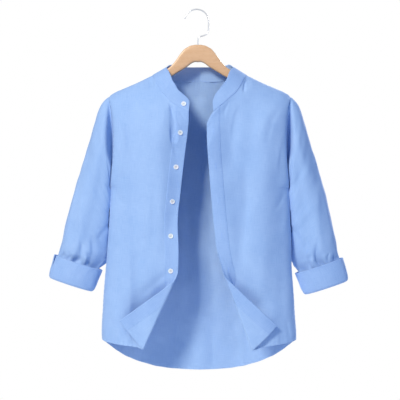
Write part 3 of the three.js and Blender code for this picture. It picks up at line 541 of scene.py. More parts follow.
def back_point(x, z):
    """A point of the back, x running from the wearer's right to the left."""
    depth = stands_out(np.abs(x), z, BACK_DEPTH, SOFT_FOLDS["back"], x)
    return np.stack([hung_x(np.where(x < 0, -1, 1), np.abs(x), z), depth, z + 0 * x], -1)


# Seam and hem relief, by distance in the flat cut

def puckers(along, turn, pitch=11):
    """The ripple that sewing leaves along a seam, uneven in length and height, from -1 to 1."""
    wander = 0.8 * np.sin(along / (3.1 * pitch) + turn) + 0.5 * np.sin(along / (1.7 * pitch) + 2 * turn)
    height = 0.65 + 0.35 * np.sin(along / (2.3 * pitch) + turn)
    return np.sin(2 * np.pi * along / pitch + wander * 2) * height


def sewn_edge(distance, along, turn, width, step=0.35):
    """A turned-in edge: a step up to the doubled cloth, a groove at the stitches and ripples that die
    away."""
    doubled = step * smooth((width - distance) / 1.2)
    groove = -0.3 * np.exp(-(((distance - width + 1.2) / 0.9) ** 2))
    ripple = 0.34 * puckers(along, turn) * np.exp(-((np.maximum(distance - width, 0) / 9) ** 2))
    return doubled + groove + ripple * smooth(distance / 2 + 0.3)


def sewn_seam(distance, along, turn, ripple=0.3):
    """A plain seam seen from outside: the cloth dips at the line and ripples beside it."""
    dip = -0.7 * np.exp(-np.abs(distance) / 1.6)
    return dip + ripple * puckers(along, turn, 13) * np.exp(-((distance / 10) ** 2))


def rounded_wall(distance, wall):
    """The wall near a free edge, rounded off over its own thickness."""
    near = np.clip(distance / wall, 0, 1)
    return wall * (0.35 + 0.65 * np.sqrt(1 - (1 - near) ** 2))


# Meshes

def weld(points):
    """Points to their numbers among the different ones, to a thousandth of a millimetre."""
    keys = np.round(points * 1000).astype(np.int64)
    _, first, number = np.unique(keys, axis=0, return_index=True, return_inverse=True)
    return first, number.ravel()


def grid_quads(shape, start):
    """The four corner numbers of each cell of a grid of rows and columns."""
    number = np.arange(shape[0] * shape[1]).reshape(shape) + start
    return np.stack([number[:-1, :-1], number[:-1, 1:], number[1:, 1:], number[1:, :-1]], -1).reshape(-1, 4)


def vertex_normals(points, quads):
    """The mean of the cross products of the diagonals of the cells round each point."""
    p = points[quads]
    cross = np.cross(p[:, 2] - p[:, 0], p[:, 3] - p[:, 1])
    total = np.zeros_like(points)
    for corner in range(4):
        np.add.at(total, quads[:, corner], cross)
    return total / np.maximum(np.linalg.norm(total, axis=1, keepdims=True), 1e-9)


def mesh_object(name, points, faces, uv=None):
    """A smooth mesh object at the origin, its points in metres."""
    mesh = bpy.data.meshes.new(name)
    mesh.from_pydata((points * MM).tolist(), [], faces if isinstance(faces, list) else faces.tolist())
    if uv is not None:
        layer = mesh.uv_layers.new(name="cut")
        corners = np.empty(len(mesh.loops), np.int32)
        mesh.loops.foreach_get("vertex_index", corners)
        layer.data.foreach_set("uv", (uv[corners] * MM).astype(np.float32).ravel())
    mesh.polygons.foreach_set("use_smooth", np.ones(len(mesh.polygons), bool))
    mesh.update()
    piece = bpy.data.objects.new(name, mesh)
    bpy.context.scene.collection.objects.link(piece)
    return piece


def cloth_shell(name, patches, inside):
    """A sheet with its own wall. Each patch is a grid of places, its flat cut, its relief along the normal
    and its wall. Patches that share points are welded, the relief is added, then both faces are set half
    the wall off and the free edges closed. inside is a point behind the outer face."""
    places, cut, relief, wall, quads, start = [], [], [], [], [], 0
    for patch in patches:
        shape = patch["places"].shape[:2]
        places.append(patch["places"].reshape(-1, 3))
        cut.append(patch["cut"].reshape(-1, 2))
        relief.append(np.broadcast_to(patch["relief"], shape).ravel())
        wall.append(np.broadcast_to(patch["wall"], shape).ravel())
        quads.append(grid_quads(shape, start))
        start += shape[0] * shape[1]
    places, cut, relief, wall = map(np.concatenate, (places, cut, relief, wall))
    first, number = weld(places)
    points, cut, relief, wall = places[first], cut[first], relief[first], wall[first]
    quads = number[np.concatenate(quads)]
    different = (quads != np.roll(quads, 1, 1)).all(1)
    quads = quads[different]
    normals = vertex_normals(points, quads)
    if ((points - np.array(inside)) * normals).sum() < 0:
        quads, normals = quads[:, ::-1], -normals
    points = points + normals * relief[:, None]
    normals = vertex_normals(points, quads)
    count = len(points)
    half = normals * wall[:, None] / 2
    both = np.concatenate([points + half, points - half])
    ways = np.stack([quads, np.roll(quads, -1, 1)], -1).reshape(-1, 2)
    keys = ways[:, 0] * count + ways[:, 1]
    free = ways[~np.isin(keys, ways[:, 1] * count + ways[:, 0])]
    rim = np.stack([free[:, 1], free[:, 0], free[:, 0] + count, free[:, 1] + count], -1)
    faces = np.concatenate([quads, quads[:, ::-1] + count, rim])
    return mesh_object(name, both, faces, np.concatenate([cut, cut]))


def patch_of(places, cut, relief=0.0, wall=CLOTH):
    """One grid of a sheet."""
    return {"places": places, "cut": cut, "relief": relief, "wall": wall}


STITCHES = []


def stitch(line, normals, lift):
    """Notes down a row of stitches, lifted off a line of places: a thread every pitch, lying on the cloth."""
    normals = np.broadcast_to(normals, line.shape)
    line = line + normals * np.reshape(lift, (-1, 1))
    steps = np.linalg.norm(np.diff(line, axis=0), axis=1)
    along = np.concatenate([[0], np.cumsum(steps)])
    centre = np.arange(STITCH_PITCH / 2, along[-1], STITCH_PITCH)

    def at(distance):
        return np.stack([np.interp(distance, along, line[:, k]) for k in range(3)], -1)

    up = np.stack([np.interp(centre, along, normals[:, k]) for k in range(3)], -1)
    way = at(centre + 0.5) - at(centre - 0.5)
    way /= np.maximum(np.linalg.norm(way, axis=1, keepdims=True), 1e-9)
    STITCHES.append((at(centre) + up * STITCH_PROUD, way, up))


def stitch_mesh(name):
    """All the stitches as one mesh. A stitch is three rings of five points along its thread, thin at both
    ends and let down into the cloth there."""
    middle, way, up = (np.concatenate(column) for column in zip(*STITCHES))
    up = up - way * (up * way).sum(1, keepdims=True)
    up /= np.maximum(np.linalg.norm(up, axis=1, keepdims=True), 1e-9)
    side = np.cross(way, up)
    angle = np.arange(5) * 2 * np.pi / 5
    rings = []
    for along, thick, low in [(-0.5, 0.45, 0.3), (0, 1, 0), (0.5, 0.45, 0.3)]:
        centre = middle + way * along * STITCH_LENGTH - up * low
        round_it = side[:, None] * np.cos(angle)[:, None] + up[:, None] * np.sin(angle)[:, None]
        rings.append(centre[:, None] + round_it * THREAD_RADIUS * thick)
    points = np.stack(rings, 1).reshape(-1, 3)
    ring = np.arange(5)
    after = np.roll(ring, -1)
    sides = [np.stack([ring + 5 * k, after + 5 * k, after + 5 * k + 5, ring + 5 * k + 5], -1) for k in (0, 1)]
    one = np.concatenate(sides)
    starts = (np.arange(len(middle)) * 15)[:, None, None]
    quads = (one[None] + starts).reshape(-1, 4).tolist()
    ends = np.stack([ring[::-1], ring + 10])
    caps = (ends[None] + starts).reshape(-1, 5).tolist()
    return mesh_object(name, points, quads + caps)


def surface_normals(fn, a, b, step=0.5):
    """The unit normal of a surface function at parameters a and b, from two small steps."""
    da = fn(a + step, b) - fn(a - step, b)
    db = fn(a, b + step) - fn(a, b - step)
    normal = np.cross(da, db)
    return normal / np.maximum(np.linalg.norm(normal, axis=-1, keepdims=True), 1e-9)


def front_normals(fn, a, b, step=0.5):
    """The same normals, turned to face ahead."""
    normals = surface_normals(fn, a, b, step)
    return normals * -np.sign(normals[:, 1:2])


# Body panels

SHOULDER_SHARE = 0.5
HALF_TURN = np.pi * CORNER_ROLL
HEM_STITCHES = HEM_WIDTH - 1.2
BEHIND_FRONTS = (0, 300, -500)
AHEAD = np.array([0.0, -1.0, 0.0])
PHASE = {"right": 0.7, "left": 2.1}
HEM_POINT = np.array([HEM_CORNER["x"], HEM_CORNER["z"]])
TIP_POINT = np.array([SHOULDER_TIP["x"], SHOULDER_TIP["z"]])

edge_of = {side: curve(front["edge"], "z", "x") for side, front in FRONTS.items()}
neck_of = {side: curve(front["neck"], "x", "z") for side, front in FRONTS.items()}


def past_fold(side, x, z):
    """How far a point of the cut lies past its front's fold line."""
    return past_corner_fold(FRONTS[side], x, z)[0]


def top_of(side, off):
    """The height at which the line that runs off beside the front edge meets the neckline."""
    return root_of(lambda z: z - neck_of[side](edge_of[side](z) + off), -300, -200)


def on_line(side, off, distance):
    """The point of that line which lies a distance past the fold line."""
    z = root_of(lambda h: past_fold(side, edge_of[side](h) + off, h) - distance, BELOW_HEM, -560)
    return float(edge_of[side](z)) + off, z


def on_hem(side, distance):
    """The point of a front's hem that lies a distance past the fold line."""
    x = root_of(lambda h: past_fold(side, h, front_hem_z(h)) - distance, 36, 200)
    return x, float(front_hem_z(x))


def top_edge(neck, start_x, u):
    """A panel's top: up the neckline to the neck point, then down the shoulder seam."""
    past_neck = np.maximum(u - SHOULDER_SHARE, 0) / (1 - SHOULDER_SHARE)
    on_neck = mix(start_x, NECK_POINT["x"], np.minimum(u / SHOULDER_SHARE, 1))
    on_shoulder = mix(NECK_POINT["x"], SHOULDER_TIP["x"], past_neck)
    x = np.where(u <= SHOULDER_SHARE, on_neck, on_shoulder)
    return np.stack([x, np.where(u <= SHOULDER_SHARE, neck(on_neck), shoulder_z(on_shoulder))], -1)


def panel_columns(count):
    """Columns of a panel: even over the neckline, crowding towards the side seam."""
    neck_part = np.linspace(0, SHOULDER_SHARE, count + 1)
    side_part = 1 - (1 - np.linspace(0, 1, int(count * 1.3) + 1)) ** 2.1
    return np.concatenate([neck_part, mix(SHOULDER_SHARE, 1, side_part[1:])])


def filled(inner, hem, top, foot, neck, u, v):
    """A panel's places in the cut: rows mixed by u from its inner line to its side, plus what the hem and
    the top depart from straight lines, mixed by v. foot and neck are the inner line's ends."""
    u, v = u[:, None], v[:, None, None]
    outer_z = mix(HEM_POINT[1], TIP_POINT[1], v)
    outer = np.concatenate([body_edge(outer_z)[0], outer_z], -1)
    grid = mix(inner[:, None], outer, u)
    grid = grid + mix(hem - mix(foot, HEM_POINT, u), top - mix(neck, TIP_POINT, u), v)
    return np.minimum(grid[..., 0], body_edge(grid[..., 1])[0]), grid[..., 1]


def sewn_relief(hem_z, across, z, hem_phase, side_phase, shoulder_phase):
    """What sewing adds to a panel: the hem, the side seam with the armhole, and the shoulder seam."""
    x = np.abs(across)
    hem = sewn_edge(z - hem_z(x), across, hem_phase, HEM_WIDTH)
    side = sewn_seam(body_edge(z)[0] - x, z, side_phase) * (z < SHOULDER_TIP["z"])
    shoulder = sewn_seam(0.9 * (shoulder_z(x) - z), across, shoulder_phase) * (x > NECK_POINT["x"])
    return hem + side + shoulder


def from_top(neck, x, z):
    """How far a point of the cut is from the neckline, or outside it from the shoulder seam."""
    return np.where(x < NECK_POINT["x"], 0.75 * (neck(x) - z), 0.9 * (shoulder_z(x) - z))


def worn_relief(side, x, z):
    """A front's neck seam, creases, unevenness and turned edge, which its placket shares."""
    edge_turn, past = EDGE_TURN[side], past_fold(side, x, z)
    below = from_top(neck_of[side], x, z)
    quiet = smooth((body_edge(z)[0] - x) / 25) * smooth(below / 14)
    neck_seam = sewn_seam(below, x - z, PHASE[side], 0.45) * (x < NECK_POINT["x"])
    creases = crease_relief(CREASES[side], x, z) * smooth(-past / 10)
    turned = edge_turn["by"] * smooth(1 - (x - edge_of[side](z)) / edge_turn["over"])
    turned = turned * smooth(-past / 70) * smooth((below - 10) / 45)
    return (creases + 0.8 * waviness(x, z, PHASE[side])) * quiet + neck_seam + turned


def front_relief(side, x, z):
    """What sewing and wear add to a front."""
    phase = PHASE[side]
    return sewn_relief(front_hem_z, x, z, phase, phase, phase + 1) + worn_relief(side, x, z)


def worn_front(side, x, z):
    """A front's point with its worn relief, straight ahead."""
    return front_point(side, x, z) + AHEAD * worn_relief(side, x, z)[..., None]


def front_patch(side, x, z):
    """A grid of a front from its places in the cut."""
    return patch_of(front_point(side, x, z), np.stack([x, z], -1), front_relief(side, x, z))


def front_panel(side):
    """The front without its placket. Rows run from the fold line and, above it, from the placket's seam out
    to the side, filled in between the hem and the top; past the fold line a second grid runs parallel to
    it. The hem's stitches are on the outer face."""
    off = PLACKET_WIDTH - UNDER_PLACKET
    seam_top = top_of(side, off)
    fold_top, fold_foot = np.array(on_line(side, off, 0)), np.array(on_hem(side, 0))
    fold_shares = spread(np.hypot(*(fold_top - fold_foot)), 2.6, fine_start=9)
    upper_z = mix(fold_top[1], seam_top, spread(seam_top - fold_top[1], 2.6, fine_end=4)[1:])
    upper = np.stack([edge_of[side](upper_z) + off, upper_z], -1)
    inner = np.concatenate([mix(fold_foot, fold_top, fold_shares[:, None]), upper])
    u, v = panel_columns(46), (inner[:, 1] - fold_foot[1]) / (seam_top - fold_foot[1])
    neck = np.array([edge_of[side](seam_top) + off, seam_top])
    hem_x = mix(fold_foot[0], HEM_CORNER["x"], u)
    hem, top = np.stack([hem_x, front_hem_z(hem_x)], -1), top_edge(neck_of[side], neck[0], u)
    main = front_patch(side, *filled(inner, hem, top, fold_foot, neck, u, v))
    corner_x = float(edge_of[side](BELOW_HEM)) + off
    corner = past_fold(side, corner_x, float(front_hem_z(corner_x)))
    laid = mix(HALF_TURN, corner, spread(corner - HALF_TURN, 2.4)[1:])
    distances = np.concatenate([np.linspace(0, HALF_TURN, 13), laid])
    hem_end = np.array([on_hem(side, d) for d in distances])[:, None]
    seam_end = np.array([on_line(side, off, d) for d in distances])[:, None]
    flap = mix(hem_end, seam_end, fold_shares[None, :, None])
    corner_patch = front_patch(side, flap[..., 0], flap[..., 1])
    x = np.arange(fold_foot[0] + 4, HEM_CORNER["x"] - 4, 2.0)
    z = front_hem_z(x) + HEM_STITCHES
    stitch(front_point(side, x, z), AHEAD, CLOTH / 2 - 0.05 + front_relief(side, x, z))
    return cloth_shell(f"front_cloth_{side}", [main, corner_patch], BEHIND_FRONTS)


def back_relief(across, z):
    """What sewing and wear add to the back, across running from the wearer's right to the left."""
    x = np.abs(across)
    below = from_top(back_neck_z, x, z)
    quiet = smooth((body_edge(z)[0] - x) / 25) * smooth(below / 16)
    neck_seam = sewn_seam(below, across, 2.0, 0.35) * (x < NECK_POINT["x"])
    worn = (crease_relief(CREASES["back"], across, z) + waviness(across, z, 5.0)) * quiet
    return sewn_relief(back_hem_z, across, z, 4.0, 3.0, 5.0) + neck_seam + worn


def back_panel():
    """The back in one: rows from hem to neck between two mirrored sides, its hem stitched on both faces."""
    v, half_u = spread(745, 3.0, fine_start=9, fine_end=4), panel_columns(40)
    u = np.concatenate([-half_u[:0:-1], half_u])
    sign, u = np.sign(u), np.abs(u)
    foot, neck = np.array([0, float(back_hem_z(0))]), np.array([0, float(back_neck_z(0))])
    hem = np.stack([HEM_CORNER["x"] * u, back_hem_z(HEM_CORNER["x"] * u)], -1)
    x, z = filled(mix(foot, neck, v[:, None]), hem, top_edge(back_neck_z, 0, u), foot, neck, u, v)
    x = sign * x
    along = np.arange(-HEM_CORNER["x"] + 5, HEM_CORNER["x"] - 5, 2.0)
    level = back_hem_z(np.abs(along)) + HEM_STITCHES
    line, worn = back_point(along, level), back_relief(along, level)
    stitch(line, -AHEAD, CLOTH / 2 - 0.05 + worn)
    stitch(line, AHEAD, CLOTH / 2 - 0.05 - worn)
    patch = patch_of(back_point(x, z), np.stack([x, z], -1), back_relief(x, z))
    return cloth_shell("back_cloth", [patch], (0, -300, -500))


def placket_grid(side):
    """The placket's flat cut: rows from the neckline down to the hem, slanting so that one lies on the fold
    line, and columns across from the front edge to the seam."""

    def heights(near, far):
        """The heights of the front edge and the seam at distances past the fold line."""
        return [on_line(side, 0, near)[1], on_line(side, PLACKET_WIDTH, far)[1]]

    top = np.array([top_of(side, 0), top_of(side, PLACKET_WIDTH)])
    foot_x = float(edge_of[side](BELOW_HEM)) + np.array([0, PLACKET_WIDTH])
    foot = front_hem_z(foot_x)
    corner = past_fold(side, foot_x, foot)
    upper = mix(top[None], np.array([heights(0, 0)]), spread(420, 2.2, fine_start=4)[:, None])
    roll = [heights(d, d) for d in np.linspace(0, HALF_TURN, 13)[1:]]
    laid = [heights(*pair) for pair in mix(HALF_TURN, corner[None], spread(90, 2.4, fine_end=3)[1:-1, None])]
    levels = np.concatenate([upper, roll, laid, foot[None]])
    across = spread(PLACKET_WIDTH, 2.4, fine_start=4, fine_end=4)[None, :]
    z = mix(levels[:, :1], levels[:, 1:], across)
    x = edge_of[side](z) + PLACKET_WIDTH * across
    z[0] = neck_of[side](x[0])
    return x, z, across * PLACKET_WIDTH


def placket(side):
    """A placket: a doubled strip with both its long edges rounded and stitched."""
    x, z, across = placket_grid(side)
    phase = {"right": 1.1, "left": 3.3}[side]
    from_edge = np.minimum(across, PLACKET_WIDTH - across) + 0 * z
    groove = -0.35 * np.exp(-(((from_edge - STITCH_FROM_EDGE) / 0.9) ** 2))
    ripple = 0.32 * puckers(z, phase, 12) * np.exp(-((from_edge / 7) ** 2))
    proud = (PLACKET_WALL - CLOTH) / 2 - 0.1
    relief = proud + groove + ripple + worn_relief(side, x, z)
    wall = rounded_wall(from_edge, PLACKET_WALL)
    for off in (STITCH_FROM_EDGE, PLACKET_WIDTH - STITCH_FROM_EDGE):
        level = np.arange(top_of(side, off) - 2, on_line(side, off, 0)[1], -2.0)
        seam = edge_of[side](level) + off
        normals = front_normals(lambda a, b: front_point(side, a, b), seam, level)
        lift = PLACKET_WALL / 2 + 0.1 + worn_relief(side, seam, level)
        stitch(front_point(side, seam, level), normals, lift)
    patch = patch_of(front_point(side, x, z), np.stack([x, z], -1), relief, wall)
    return cloth_shell(f"placket_cloth_{side}", [patch], BEHIND_FRONTS)


# Collar

NECK_MIDDLE = np.array([SHIRT_OFF_CENTRE, 0, -190])


def neckline(side):
    """The neckline of one half as a fine line of places, with the share of the way round at each, from the
    front end over the shoulder to the back's middle."""
    front = FRONTS[side]
    x = mix(front["collar_end"], NECK_POINT["x"], 1 - (1 - np.linspace(0, 1, 120)) ** 2)
    ahead = front_point(side, x, neck_of[side](x))
    x = mix(NECK_POINT["x"], 0, np.linspace(0, 1, 120) ** 2)
    behind = back_point(front["sign"] * x, back_neck_z(x))
    ahead[-1] = behind[0] = (ahead[-1] + behind[0]) / 2

    def shares_of(line, low, high):
        steps = np.concatenate([[0], np.cumsum(np.linalg.norm(np.diff(line, axis=0), axis=1))])
        return mix(low, high, steps / steps[-1])

    share = np.concatenate([shares_of(ahead, 0, COLLAR_SHOULDER), shares_of(behind, COLLAR_SHOULDER, 1)[1:]])
    return share, np.concatenate([ahead, behind[1:]])


NECKLINES = {side: neckline(side) for side in FRONTS}
rise_x, rise_y, rise_z = (curve(COLLAR_RISE, "share", key) for key in "xyz")


def collar_point(side, share, height):
    """The band: from the neckline up its rise, leaning in, its front end cut back to a quarter round."""
    line_share, line = NECKLINES[side]
    seam = np.stack([np.interp(share, line_share, line[:, k]) for k in range(3)], -1)
    rise = np.stack([FRONTS[side]["sign"] * rise_x(share), rise_y(share), rise_z(share)], -1)
    from_end = np.clip(share / COLLAR_CORNER, 0, 1)
    cut = 1 - 0.3 * (1 - np.sqrt(1 - (1 - from_end) ** 2))
    return seam + rise * mix(-0.03, cut, height)[..., None]


def collar_steps(side):
    """The band over hundredths of its half and fiftieths of its height, so that small steps both ways are
    alike."""
    return lambda a, b: collar_point(side, a * 0.01, b * 0.02)


def collar_band():
    """The band in one strip, right half then left, its free edges rounded and stitched all round."""
    shares = np.concatenate([0.09 * (1 - np.cos(np.linspace(0, np.pi / 2, 16))), np.linspace(0.1, 1, 110)])
    heights = spread(COLLAR_HEIGHT, 2.4, fine_end=4)
    share, height = np.meshgrid(shares, heights, indexing="ij")
    halves = []
    for side in FRONTS:
        place = collar_point(side, share, height)
        cut = np.stack([FRONTS[side]["sign"] * (1 - share) * COLLAR_HALF, height * COLLAR_HEIGHT], -1)
        edge = np.minimum((1 - height) * COLLAR_HEIGHT, share * COLLAR_HALF)
        halves.append((place, cut, edge))
    places, cut, edge = (np.concatenate([right, left[::-1][1:]]) for right, left in zip(*halves))
    groove = -0.3 * np.exp(-(((edge - STITCH_FROM_EDGE) / 0.9) ** 2))
    low = -0.25 * np.exp(-(((cut[..., 1] - 3) / 1.0) ** 2))
    ripple = 0.2 * puckers(cut[..., 0], 0.4, 12) * np.exp(-((edge / 6) ** 2))
    relief = groove + low + ripple + 0.7 * waviness(cut[..., 0], cut[..., 1], 1.7)
    at = np.arange(0.02, 1.0, 0.006)
    for side in FRONTS:
        for level in (1 - STITCH_FROM_EDGE / COLLAR_HEIGHT, 0.075):
            line = collar_point(side, at, at * 0 + level)
            normals = surface_normals(collar_steps(side), at * 100, at * 0 + level * 50)
            normals *= np.sign((normals * (line - NECK_MIDDLE)).sum(1, keepdims=True))
            for face in (normals, -normals):
                stitch(line, face, COLLAR_WALL / 2 - 0.1)
    patch = patch_of(places, cut, relief, rounded_wall(edge, COLLAR_WALL))
    return cloth_shell("collar_cloth", [patch], NECK_MIDDLE)


# Sleeves and cuffs

ALONG_CUFF = {"x": np.cos(CUFF_TILT), "z": np.sin(CUFF_TILT)}
DOWN_CUFF = {"x": np.sin(CUFF_TILT), "z": -np.cos(CUFF_TILT)}
band_length, band_depth = curve(CUFF_BAND, "height", "length"), curve(CUFF_BAND, "height", "depth")


def cuff_ring(height, smaller):
    """The cuff's section at a height above its fold, made smaller all round: an oval from its outer end to
    its underarm end."""
    ring = {"y": CUFF_Y + 0 * height, "depth": band_depth(height) - smaller}
    for key in "xz":
        middle = CUFF_TOP[key] + (CUFF_HEIGHT - height) * DOWN_CUFF[key]
        reach = (band_length(height) - smaller) * ALONG_CUFF[key]
        ring[f"outer_{key}"], ring[f"inner_{key}"] = middle + reach, middle - reach
    return ring


def oval(ring, angle):
    """A ring's x and z at an angle: from its middle to its outer end, and past it to the inner, by the
    cosine."""
    ends = [(ring[f"outer_{key}"], ring[f"inner_{key}"]) for key in "xz"]
    return [(outer + inner) / 2 + (outer - inner) / 2 * np.cos(angle) for outer, inner in ends]


def sleeve_columns():
    """The sleeve's rings with the two that the cuff gives it."""
    at_cuff, inside_cuff = cuff_ring(CUFF_HEIGHT, 9), cuff_ring(SLEEVE_END_HEIGHT, CUFF_WALL_TO_SLEEVE)
    extra = {"t": (1, SLEEVE_END)}
    extra.update({key: (at_cuff[key], inside_cuff[key]) for key in at_cuff})
    return {key: np.concatenate([SLEEVE_RINGS[key], extra[key]]) for key in SLEEVE_RINGS}


ring_columns = sleeve_columns()
ring_curves = {key: curve(ring_columns, "t", key) for key in ring_columns if key != "t"}


def gather_depth(t, angle):
    """How deep the gathers above the cuff are: bells across, growing down to the cuff and dying inside it."""
    face, across = np.where(np.sin(angle) >= 0, 1, -1), np.cos(angle)
    total = 0
    for g in rows_of(SLEEVE_GATHERS):
        off = (across - g["across"]) / g["width"]
        grown = smooth(1 - (1 - t) / g["reach"]) * (face == g["face"])
        total = total + g["depth"] * grown * np.exp(-off * off)
    return total * np.clip((SLEEVE_END - t) / (SLEEVE_END - 1), 0, 1)


def sleeve_point(side, t, angle):
    """The sleeve at a share of its length and an angle from its outer edge over its front: an oval at each
    share, with a groove just off the armhole, started from the armhole seam itself."""
    hangs = SLEEVES[side]
    ring = {key: fn(t) for key, fn in ring_curves.items()}
    sin = np.sin(angle)
    round_it = np.mod(angle, 2 * np.pi)
    turned = np.minimum(round_it, 2 * np.pi - round_it)
    lower = smooth((turned - 0.4) / 1.1)
    narrow = 1 - 0.6 * smooth((turned - 1.65) / 0.6)
    off, width = mix(0.03, 0.04, lower) * narrow, mix(0.017, 0.026, lower) * narrow
    groove = mix(0.3, 0.97, lower) * np.exp(-(((t - off) / width) ** 2)) * np.abs(sin)
    x, z = oval(ring, angle)
    y = ring["y"] - (ring["depth"] * (1 - groove) - gather_depth(t, angle)) * sin
    hole_x, hole_depth, hole_z = armhole(angle)
    away = smooth(t / 0.1)
    hang = np.clip(t, 0, 1) ** 3
    x = mix(hole_x + 0.5, x, away) + hangs["x"] * hang
    y = mix(-hole_depth * 0.985, y, away) + groove * ring["depth"] * sin * (1 - away)
    z = mix(ARMHOLE_MIDDLE_Z + (hole_z - ARMHOLE_MIDDLE_Z) * 0.998, z, away) + hangs["z"] * hang
    return np.stack([hangs["sign"] * x + SHIRT_OFF_CENTRE, y, z], -1)


def sleeve_crease(degrees, down):
    """Creases of a sleeve, measured at three quarters of a millimetre a degree."""
    scaled = {key: column * (0.75 if key in ("x0", "x1") else 1) for key, column in SLEEVE_CREASES.items()}
    return crease_relief(scaled, degrees * 0.75, down)


def against_body(side, places, t, angle):
    """The sleeve's underarm edge drawn in to the body from the armhole down to the elbow, its rear half
    also above the cuff, and kept outside it: what would be inside goes back to just behind the back
    panel."""
    sign = SLEEVES[side]["sign"]
    x, y, z = sign * (places[..., 0] - SHIRT_OFF_CENTRE), places[..., 1], places[..., 2]
    gap = x - seam_x(z)
    drawn = smooth((t - 0.03) / 0.12) * smooth((0.99 - t) / 0.12) * np.exp(-((np.maximum(gap, 0) / 26) ** 2))
    rear = smooth(-2 * np.sin(angle)) * smooth(-3 * np.cos(angle))
    rear = rear * smooth((t - 0.78) / 0.12) * smooth((1.02 - t) / 0.07)
    x = x - np.maximum(9 * drawn, rear * np.clip(gap - 2, 0, 30))
    inside = (x < seam_x(z) + 1.2) & (z < UNDERARM["z"])
    clear = stands_out(np.minimum(x, seam_x(z)), z, BACK_DEPTH, SOFT_FOLDS["back"], sign * x) + 1.6
    y = np.where(inside & (y > -6), np.maximum(y, clear), y)
    return np.stack([sign * x + SHIRT_OFF_CENTRE, y, z], -1)


def sleeve(side):
    """A sleeve, welded along its underarm seam, with its creases in its own cut, a full head and ripples at
    the armhole."""
    t = SLEEVE_END * spread(SLEEVE_LENGTH * SLEEVE_END, 3.0, fine_start=4)[:, None]
    degrees = np.linspace(180, 540, 156)[None, :]
    angle, round_it, down = np.radians(degrees), np.mod(degrees, 360), SLEEVE_LENGTH * t
    phase = {"right": 0.3, "left": 1.4}[side]
    quiet = smooth(t / 0.06) * smooth((1.02 - t) / 0.04)
    creases = sum(sleeve_crease(round_it + full_turn, down) for full_turn in (-360, 0, 360))
    relief = (creases + waviness(70 * np.sin(angle), down, phase)) * quiet
    head = np.exp(-(((t - 0.1) / 0.07) ** 2)) * np.exp(-((np.minimum(round_it, 360 - round_it) / 38) ** 2))
    ripple = 0.4 * puckers(75 * np.sin(angle), phase, 12) * np.exp(-((down / 9) ** 2))
    relief = relief + 3.5 * head * smooth(t / 0.09) - 0.6 * np.exp(-down / 1.6) + ripple
    cut = np.stack([degrees * SLEEVE_CUT_WIDTH / 360 + 0 * t, -down + 0 * degrees], -1)
    places = sleeve_point(side, t, angle)
    places[:, -1], relief[:, -1] = places[:, 0], relief[:, 0]
    places = against_body(side, places, t, angle)
    middle = places.reshape(-1, 3).mean(0)
    return cloth_shell(f"sleeve_cloth_{side}", [patch_of(places, cut, relief)], middle)


CUFF_ROLL = CUFF_WALL_TO_SLEEVE / 2
CUFF_INNER = SLEEVE_END_HEIGHT - CUFF_ROLL
CUFF_PROFILE = CUFF_INNER + np.pi * CUFF_ROLL + CUFF_HEIGHT - CUFF_ROLL
CUFF_ROUND = 305
CUFF_SLIT = np.radians(20)
CUFF_STITCHES = 3.2


def cuff_surface(side, along, share):
    """A cuff's place: along runs up its profile from the inner end, round the fold and up to the free edge,
    in mm; share runs round from one side of the slit to the other, and the slit opens above its middle."""
    hangs = SLEEVES[side]
    turned = np.clip((along - CUFF_INNER) / CUFF_ROLL, 0, np.pi)
    height = np.where(along < CUFF_INNER, SLEEVE_END_HEIGHT - along, CUFF_ROLL - CUFF_ROLL * np.sin(turned))
    rolled = CUFF_INNER + np.pi * CUFF_ROLL
    height = np.where(along > rolled, CUFF_ROLL + along - rolled, height)
    opened = np.radians(0.15 + 8.5 * np.clip((height / CUFF_HEIGHT - 0.42) / 0.58, 0, 1) ** 1.2)
    angle = mix(CUFF_SLIT + opened, CUFF_SLIT + 2 * np.pi - opened, share)
    ring = cuff_ring(height, CUFF_ROLL + CUFF_ROLL * np.cos(turned))
    x, z = oval(ring, angle)
    y = ring["y"] - ring["depth"] * np.sin(angle)
    return np.stack([hangs["sign"] * (x + hangs["x"]) + SHIRT_OFF_CENTRE, y, z + hangs["z"]], -1)


def cuff(side):
    """The turned-up cuff, its free edge and both its ends rounded, its fold soft."""
    along = CUFF_PROFILE * spread(CUFF_PROFILE, 2.2, fine_end=4)[:, None]
    share = spread(CUFF_ROUND, 2.4, fine_start=4, fine_end=4)[None, :]
    places = cuff_surface(side, along + 0 * share, share + 0 * along)
    round_it = share * CUFF_ROUND + 0 * along
    cut = np.stack([round_it, along + 0 * share], -1)
    edge = np.minimum(CUFF_PROFILE - along, np.minimum(share, 1 - share) * CUFF_ROUND)
    phase = {"right": 0.9, "left": 2.6}[side]
    relief = crease_relief(CUFF_CREASES, round_it, cut[..., 1]) + 0.8 * waviness(round_it, cut[..., 1], phase)
    relief = relief + 0.9 * np.sin(round_it / 21 + phase) * smooth((along - 40) / 40)
    relief = relief * smooth((along - 8) / 14)
    relief = relief - 0.28 * np.exp(-(((edge - CUFF_STITCHES) / 0.9) ** 2)) * (along > 20)
    middle = places.reshape(-1, 3).mean(0)
    at = np.arange(0.012, 0.99, 0.006)
    line = cuff_surface(side, at * 0 + CUFF_PROFILE - CUFF_STITCHES, at)
    outward = (line - middle) * np.array([1, 1, 0])
    outward /= np.linalg.norm(outward, axis=1, keepdims=True)
    stitch(line, outward, CUFF_WALL / 2 + 0.05)
    patch = patch_of(places, cut, relief, rounded_wall(edge, CUFF_WALL))
    return cloth_shell(f"cuff_cloth_{side}", [patch], middle)


# Buttons and buttonholes

BUTTON_LEVELS = FIRST_BUTTON_Z - np.arange(PLACKET_BUTTONS) * BUTTON_SPACING
HOLE_RADIUS = 1.1
HOLE_OFF = 1.45
WELL_DEPTH = 0.85
BUTTON_BACK = 0.9
BUTTONHOLE_HALF = 8.0
BUTTONHOLE_HALF_WIDTH = 1.15


